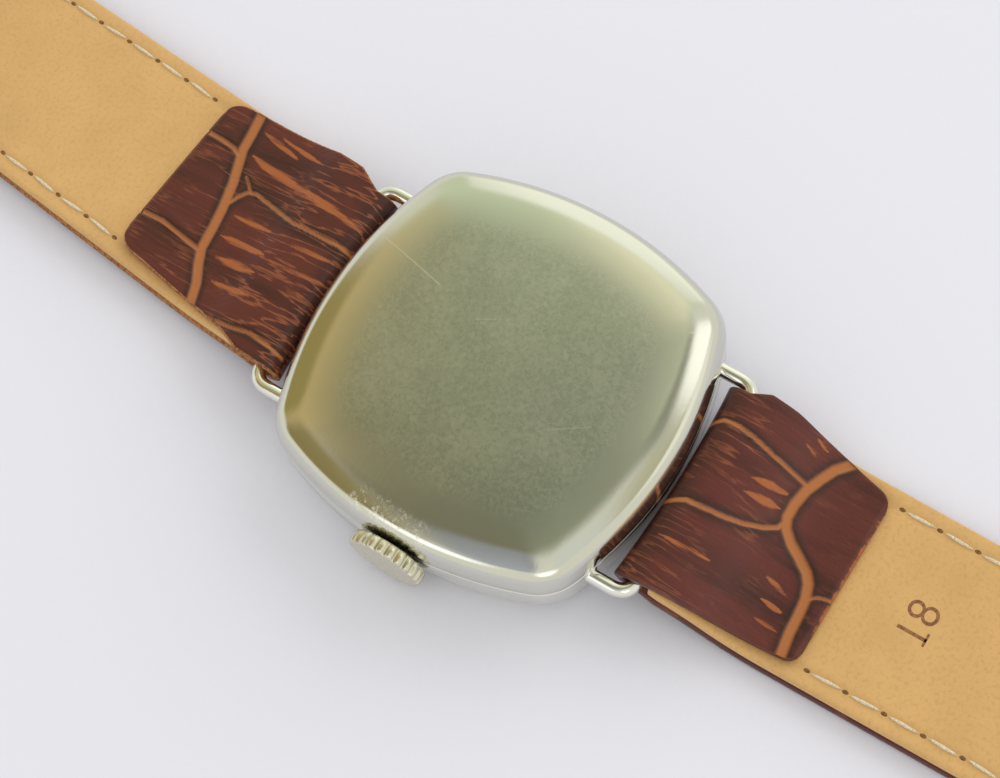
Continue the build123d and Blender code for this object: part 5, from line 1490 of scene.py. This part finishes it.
@dataclass
class DialPrint:
    """Numerals and tracks printed on the dial's front, which faces down."""

    face_z: float = 2.205
    numeral_radius: float = 9.6
    numeral_size: float = 3.0
    track: Point = (11.5, 12.3)
    small_centre: Point = (0.0, -6.0)
    small_track: Point = (2.1, 2.55)
    ink: float = 0.008
    stroke_wide: Point = (0.2, 0.08)
    line_half: float = 0.04
    line_rise: float = 0.006
    line_steps: int = 120

    def build(self, finish: Material) -> None:
        """Builds the print as one piece.

        Args:
            finish: the printing ink.
        """
        whole = bmesh.new()
        for hour in (12, 1, 2, 3, 4, 5, 7, 8, 9, 10, 11):
            a = radians(30 * hour)
            part = figures(str(hour), self.numeral_size)
            place = shifted((-self.numeral_radius * sin(a), self.numeral_radius * cos(a), self.face_z))
            bmesh.ops.transform(part, matrix=place @ Matrix.Rotation(pi, 4, "Y"), verts=part.verts[:])
            join(whole, part)
        broad, slim = self.stroke_wide
        for (x, y), (low, high), step in (
            ((0.0, 0.0), self.track, 5),
            (self.small_centre, self.small_track, 10),
        ):
            for k in range(60):
                place = shifted((x, y, self.face_z), turn=2 * pi * k / 60)
                wide = (broad if k % step == 0 else slim) * min(low / 6, 1)
                stroke = place @ shifted(((low + high) / 2, 0, 0), (high - low, wide, self.ink))
                bmesh.ops.create_cube(whole, size=1.0, matrix=stroke)
            for radius in (low, high):
                rings = []
                for r, z in (
                    (radius - self.line_half, self.face_z),
                    (radius + self.line_half, self.face_z),
                    (radius, self.face_z - self.line_rise),
                ):
                    turns = [2 * pi * k / self.line_steps for k in range(self.line_steps)]
                    rings.append([Vector((x + r * cos(a), y + r * sin(a), z)) for a in turns])
                join(whole, loft(rings, closed=True)[0])
        Piece("dial_print", Body.CASE, Slot.DIAL, [finish]).place(whole)


@dataclass
class SizeMark:
    """The strap's width in figures, stamped on its lining."""

    figure: str = "18"
    size: float = 2.6
    weight: float = -0.035
    place: tuple[float, float, float] = (0.1, -36.5, 1.7)
    foot: tuple[float, float, float] = (1.1, 0.2, 0.008)
    foot_back: float = 0.12

    def build(self, finish: Material) -> None:
        """Builds the figures, the one with a foot bar as old type has it.

        Args:
            finish: the stamp's foil.
        """
        shape = figures(self.figure, self.size, self.weight)
        stem = max(v.co.x for v in shape.verts if v.co.x < 0) - self.foot_back
        base = min(v.co.y for v in shape.verts)
        bmesh.ops.create_cube(shape, size=1.0, matrix=shifted((stem, base + self.foot[1] / 2, 0), self.foot))
        bmesh.ops.transform(shape, matrix=shifted(self.place), verts=shape.verts[:])
        Piece("size_mark", Body.STRAP_SIX, Slot.TAN, [finish]).place(shape)


def dress(finish: Material, *nodes: str) -> None:
    """Gives CAD nodes that stay in view their finish.

    Args:
        finish: the material.
        nodes: the nodes' names.
    """
    for name in nodes:
        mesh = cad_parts[name].data
        if not mesh.materials:
            mesh.materials.append(finish)
        for place in range(len(mesh.materials)):
            mesh.materials[place] = finish
        LOG.info("%s: dressed in %s", name, finish.name)


class Movement:
    """The movement's CAD pieces, with the dial, the hands and the glass, each in what it is made of."""

    def dress(self) -> None:
        """Gives every piece its finish."""
        for finish, nodes in (
            # Bridges in broad stripes and a frosted plate, all plated nickel
            (
                StripedPlate("brass_nickel_plated_striped", "C9C5B8", 0.2, metallic=1.0),
                "barrel_bridge train_bridge balance_cock pallet_cock",
            ),
            (
                Enamel(
                    "brass_nickel_plated_frosted", "B9B6AA", 0.38, metallic=1.0, grain=0.25, second="C8C4B6"
                ),
                "main_plate",
            ),
            # Gilt wheels, which shine yellow
            (
                PolishedSteel(
                    "brass_gilt_grained", "D2A24C", 0.24, metallic=1.0,
                    line=0.1, stretch=(1.0, 6.0, 1.0), depth=0.15,
                ),
                "barrel_drum barrel_lid centre_wheel third_wheel fourth_wheel hour_wheel minute_wheel "
                "balance_wheel roller",
            ),
            # Hardened steel polished grey, and the screws, hands and hairspring heated until they turn blue
            (
                PolishedSteel(
                    "carbon_steel_hardened_polished", "B4B6B8", 0.18, metallic=1.0,
                    line=0.1, stretch=(8.0, 1.0, 1.0), depth=0.12,
                ),
                "barrel_arbor ratchet_wheel crown_wheel winding_pinion sliding_pinion winding_stem "
                "setting_lever click click_spring regulator escape_wheel escape_pinion fourth_pinion "
                "third_pinion centre_pinion cannon_pinion pallet_lever balance_staff mainspring crown_tube",
            ),
            (
                PolishedSteel(
                    "carbon_steel_heat_blued", "1D3E8C", 0.22, metallic=1.0, line=0.1, stretch=(1.0, 8.0, 1.0)
                ),
                "bridge_screws ratchet_screw crown_wheel_screw hairspring hour_hand minute_hand seconds_hand",
            ),
            # Clear red stones, a silvered dial with a soft sheen, and glass
            (Clear("synthetic_ruby_polished", "B3123E", 0.03, index=1.76), "bearing_jewels pallet_stones"),
            (
                Enamel(
                    "brass_silvered_lacquered", "DEDACD", 0.36, metallic=0.35, grain=0.5, second="D2CDBE"
                ),
                "dial",
            ),
            (Clear("mineral_glass_polished", "FBFDFC", 0.01), "crystal"),
        ):
            dress(finish.build(), *nodes.split())


@dataclass
class Studio:
    """Pale floor, soft light tent, one key light and the camera at the photograph's angle."""

    floor_colour: str = "E9E9EE"
    paper_colour: str = "ECECF0"
    floor_metres: float = 3.0
    tent_colour: str = "C2C2B8"
    tent_strength: float = 1.7
    soft_colour: str = "F5F5F6"
    soft_strength: float = 0.92
    key_energy: float = 5.0
    key_metres: float = 1.0
    key_distance: float = 1.2
    key_heading: tuple[float, float, float] = (0.86, -0.22, 0.50)
    distance: float = 177.397
    elevation: float = 68.162
    azimuth: float = -44.041
    roll: float = -14.588
    target: tuple[float, float, float] = (-0.53, -0.192, 4.0)
    focal_px: float = 2294.677
    frame_px: float = 1000.0
    sensor: float = 36.0

    def floor(self) -> None:
        """Builds the floor as one large sheet of matt card."""
        shape = bmesh.new()
        bmesh.ops.create_grid(shape, x_segments=4, y_segments=4, size=self.floor_metres)
        mesh = bpy.data.meshes.new("card_floor")
        shape.to_mesh(mesh)
        shape.free()
        card = Enamel("card_matt_white", self.floor_colour, 0.9, grain=0.6, second=self.paper_colour)
        mesh.materials.append(card.build())
        link("card_floor", mesh)

    def tent(self) -> None:
        """Lights the world as a soft tent whose walls have broad pale, warm and grey-green areas."""
        world = bpy.data.worlds.new("light_tent")
        bpy.context.scene.world = world
        world.use_nodes = True
        tree = world.node_tree
        tree.nodes.clear()
        way = add_node(tree, "TexCoord").outputs["Generated"]
        base: Node | Colour = tone(self.tent_colour)
        walls = (
            ((0.0, 0.0, -1.0), 0.0, 0.6, "D4D4D6"),
            ((0.20, 0.18, 0.96), 0.87, 0.985, "7E826E"),
            ((0.60, 0.38, 0.70), 0.86, 0.98, "B2BAA0"),
            ((0.86, 0.24, 0.45), 0.93, 0.99, "E2E4D8"),
            ((0.05, 0.64, 0.77), 0.895, 0.985, "A8976A"),
            ((0.08, 0.80, 0.60), 0.95, 0.99, "857848"),
            ((-0.45, 0.50, 0.74), 0.92, 0.985, "7C7048"),
            ((-0.16, 0.20, 0.965), 0.965, 0.994, "6C6A56"),
            ((-0.30, 0.06, 0.95), 0.98, 0.996, "82868A"),
            ((0.62, 0.16, 0.77), 0.985, 0.998, "D0CDB2"),
            ((0.49, 0.13, 0.86), 0.988, 0.998, "CECBB0"),
            ((0.38, 0.00, 0.925), 0.99, 0.998, "AFB19A"),
            ((0.38, -0.20, 0.90), 0.985, 0.997, "7C7E6E"),
            ((0.52, -0.30, 0.80), 0.975, 0.995, "F6F6EE"),
            ((0.40, -0.64, 0.66), 0.95, 0.99, "D6D6CC"),
            ((0.23, -0.46, 0.86), 0.975, 0.995, "A4A28A"),
            ((-0.04, -0.40, 0.915), 0.975, 0.995, "BABEB8"),
            ((-0.45, 0.00, 0.89), 0.98, 0.995, "9498A0"),
            ((-0.72, 0.18, 0.66), 0.97, 0.994, "FAFCFF"),
            ((-0.50, -0.46, 0.73), 0.96, 0.993, "FFFFFF"),
        )
        for heading, low, high, colour in walls:
            turned = {0: way, 1: Vector(heading).normalized()}
            dot = add_node(tree, "VectorMath", turned, operation="DOT_PRODUCT")
            span = {"Value": dot, 1: low, 2: high}
            share = add_node(tree, "MapRange", span, interpolation_type="SMOOTHSTEP")
            base = add_node(tree, "Mix", {0: share, 6: base, 7: tone(colour)}, data_type="RGBA")
        rays = add_node(tree, "LightPath")
        soft = add_node(tree, "Background", {"Color": tone(self.soft_colour), "Strength": self.soft_strength})
        seen = add_node(tree, "Background", {"Color": base, "Strength": self.tent_strength})
        back = add_node(tree, "Background", {"Color": tone(self.paper_colour), "Strength": 1.0})
        gloss = add_node(tree, "MixShader", {0: rays.outputs["Is Glossy Ray"], 1: soft, 2: seen})
        shown = add_node(tree, "MixShader", {0: rays.outputs["Is Camera Ray"], 1: gloss, 2: back})
        add_node(tree, "OutputWorld", {"Surface": shown})

    def key(self) -> None:
        """Hangs one large soft light to the upper right, which throws the faint shadow to the lower left."""
        light = bpy.data.lights.new("softbox", "AREA")
        light.shape, light.energy = "RECTANGLE", self.key_energy
        light.size = light.size_y = self.key_metres
        holder = link("softbox", light)
        heading = Vector(self.key_heading).normalized()
        holder.location = heading * self.key_distance
        holder.rotation_euler = heading.to_track_quat("Z", "Y").to_euler()
        holder.visible_glossy = False

    def camera(self) -> None:
        """Places the camera where the photograph was taken from."""
        e, a = radians(self.elevation), radians(self.azimuth)
        back = Vector((sin(a) * cos(e), -cos(a) * cos(e), sin(e)))
        right = (-back).cross(Vector((-sin(a), cos(a), 0))).normalized()
        up = right.cross(-back)
        turn = radians(self.roll)
        right, up = right * cos(turn) + up * sin(turn), up * cos(turn) - right * sin(turn)
        lens = bpy.data.cameras.new("camera")
        lens.sensor_width = self.sensor
        lens.lens = self.focal_px / self.frame_px * self.sensor
        lens.clip_start = 0.001
        camera = link("camera", lens)
        place = Matrix((right, up, back)).transposed().to_4x4()
        place.translation = (Vector(self.target) + back * self.distance) * MM
        camera.matrix_world = place
        bpy.context.scene.camera = camera


TWELVE_GROOVES = (
    (0.42, ((10.9, 30.2), (10.25, 30.06), (8.31, 29.77), (6.79, 29.61), (5.46, 29.14), (3.97, 28.61),
            (1.7, 28.06), (-0.1, 27.76), (-2.22, 27.5), (-3.51, 26.88), (-4.99, 26.0), (-7.0, 25.3))),
    (0.2, ((6.75, 33.6), (6.7, 31.55), (6.56, 30.37), (6.16, 29.32))),
    (0.2, ((-1.91, 34.0), (-1.79, 31.76), (-2.13, 29.59), (-2.4, 27.68))),
    (0.17, ((2.23, 27.9), (3.1, 27.5), (3.8, 27.0), (4.0, 26.3), (3.59, 24.31), (3.02, 21.87), (2.95, 19.47),
            (2.98, 17.61), (2.82, 16.0))),
    (0.12, ((4.89, 27.9), (3.94, 26.85))),
    (0.15, ((-7.3, 23.6), (-7.2, 22.94), (-7.04, 20.84), (-6.75, 19.12), (-6.97, 17.47), (-7.21, 15.84))),
)
TWELVE_RUBS = (
    (9.01, 28.9, 8.21, 25.04, 0.32), (6.8, 28.53, 5.45, 21.63, 0.6), (6.2, 24.6, 4.88, 16.3, 0.42),
    (1.59, 26.83, 1.58, 23.04, 0.3), (-0.5, 26.7, -0.46, 22.32, 0.42), (-2.34, 25.96, -2.14, 22.01, 0.42),
    (-4.28, 24.94, -4.18, 21.17, 0.28), (9.3, 27.2, 8.6, 22.6, 0.2), (1.12, 20.89, 1.46, 16.59, 0.25),
    (-0.74, 19.95, -0.46, 15.3, 0.2),
)
SIX_GROOVES = (
    (0.18, ((4.6, -15.3), (5.3, -16.0), (5.69, -16.57), (5.8, -17.83), (5.64, -19.25), (5.35, -20.75),
            (5.13, -22.2), (4.9, -24.1))),
    (0.2, ((-2.3, -15.4), (-1.26, -17.35), (-1.07, -18.88), (-0.85, -20.4), (-0.44, -21.8), (0.2, -23.08),
           (0.88, -24.0), (1.67, -24.27))),
    (0.42, ((9.4, -27.2), (8.35, -26.35), (7.14, -25.38), (5.98, -24.88), (4.55, -24.37), (3.17, -24.17),
            (1.97, -24.2), (1.18, -24.56), (0.4, -25.44), (-0.17, -26.42), (-0.88, -27.48), (-1.57, -28.04),
            (-2.7, -28.45), (-3.98, -28.6), (-5.61, -28.72), (-7.9, -29.1))),
    (0.14, ((-2.67, -28.5), (-2.16, -29.18), (-1.78, -30.4))),
)
SIX_RUBS = (
    (2.93, -20.66, 3.44, -23.35, 0.42), (1.65, -20.65, 2.18, -23.48, 0.4),
    (-2.76, -25.12, -3.25, -27.1, 0.25), (-4.43, -25.7, -4.6, -27.4, 0.28),
    (-5.93, -25.91, -6.01, -27.88, 0.28), (7.51, -22.66, 7.06, -23.93, 0.14),
    (8.42, -23.14, 7.99, -24.23, 0.14), (-4.58, -17.01, -4.32, -21.12, 0.25),
    (-6.9, -30.2, 7.2, -30.2, 0.1),
)
BUCKLE_BAR = (8.5, 92.2, 2.1)


def main() -> None:
    """Builds the watch piece by piece, then its stage, lights and camera."""
    logging.basicConfig(level=logging.INFO, format="%(name)s %(message)s")
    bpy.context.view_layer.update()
    # Pressed, polished and turned steel: near white, grey and hazed where the wrist wore the back's panel,
    # whose grey-green tint is also a painted reflection
    worn = BackSteel("stainless_steel_pressed_worn", "D3D2C8", 0.11, metallic=1.0).build()
    polished = PolishedSteel("stainless_steel_polished", "E6E5DE", 0.12, metallic=1.0).build()
    turned = PolishedSteel(
        "nickel_silver_turned_worn", "D6D0BC", 0.24, metallic=1.0, stretch=(1.0, 8.0, 8.0), depth=0.2
    ).build()
    satin = PolishedSteel(
        "stainless_steel_satin", "BDBDBB", 0.26, metallic=1.0, line=0.1, stretch=(10.0, 1.0, 1.0), depth=0.2
    ).build()
    case = Case(Cushion())
    case.back(worn)
    case.middle(polished)
    case.lugs(polished)
    Crown().build(turned)

    # Glazed calf with a low gloss over raw, fibrous edges, and a soft matt lining sewn with waxed thread
    croc = EmbossedLeather("calf_embossed_glazed", "5E241A", 0.38).build()
    cut_edge = Twisted("leather_edge_raw", "B07A44", 0.8, fibre=0.25, second="7A4424").build()
    suede = Twisted("leather_flesh_side", "B98A55", 0.9, fibre=0.25, second="A5743F").build()
    nubuck = Nubuck("calf_lining_buffed", "DDAF6C", 0.82).build()
    thread = Twisted("linen_thread_waxed", "E9DCC0", 0.6, fibre=0.12, second="CDB88E").build()
    # Pricked holes: a dark colour painted as the holes' shade
    pit = Twisted("pricked_hole_painted_shade", "6B4A28", 0.9, fibre=0.2, second="8A6236").build()
    end = StrapEnd(Vector(BUCKLE_BAR))
    twelve = Strap(
        "twelve", 1, Body.STRAP_TWELVE, lift=0.75,
        run=((0, -8.6, 8.65), (2.0, -8.3, 9.8), (73.65, 0.62, 16.62)),
        flap=(
            (0, -8.6, 8.65), (2.2, -8.45, 9.9), (4.8, -7.4, 10.25), (13.5, -5.6, 10.35),
            (16.55, -5.1, 10.3),
        ),
        grooves=TWELVE_GROOVES, rubs=TWELVE_RUBS, flap_skew=-0.076, end_slope=tan(-end.turn),
    )
    six = Strap(
        "six", -1, Body.STRAP_SIX, lift=0.0,
        run=((0, -8.65, 8.65), (1.6, -8.9, 8.95), (106.0, -7.9, 7.9), (115.0, -4.2, 4.2)),
        flap=(
            (0, -8.65, 8.65), (1.5, -8.5, 9.4), (3.85, -8.3, 9.3), (6.9, -7.95, 8.8), (8.75, -7.8, 8.45),
            (13.05, -7.45, 7.4),
        ),
        grooves=SIX_GROOVES, rubs=SIX_RUBS, tip_round=2.0, creased=0.5, calm=0.4, flap_round=1.1, holes=7,
    )
    for strap in (twelve, six):
        strap.build([croc, cut_edge, suede], [nubuck, cut_edge, suede], [thread, pit])
    end.build(croc, satin)

    # Black printing ink on the dial, and brown foil pressed into the lining's nap
    DialPrint().build(Enamel("printing_ink_black", "17181C", 0.4, grain=0.1, second="24252A").build())
    SizeMark().build(Twisted("stamped_foil_brown", "7A4E2C", 0.6, fibre=0.2, second="9C6A3E").build())
    Movement().dress()

    studio = Studio()
    studio.floor()
    studio.tent()
    studio.key()
    studio.camera()
    bpy.context.scene.view_settings.view_transform = "Standard"


if __name__ == "__main__":
    main()
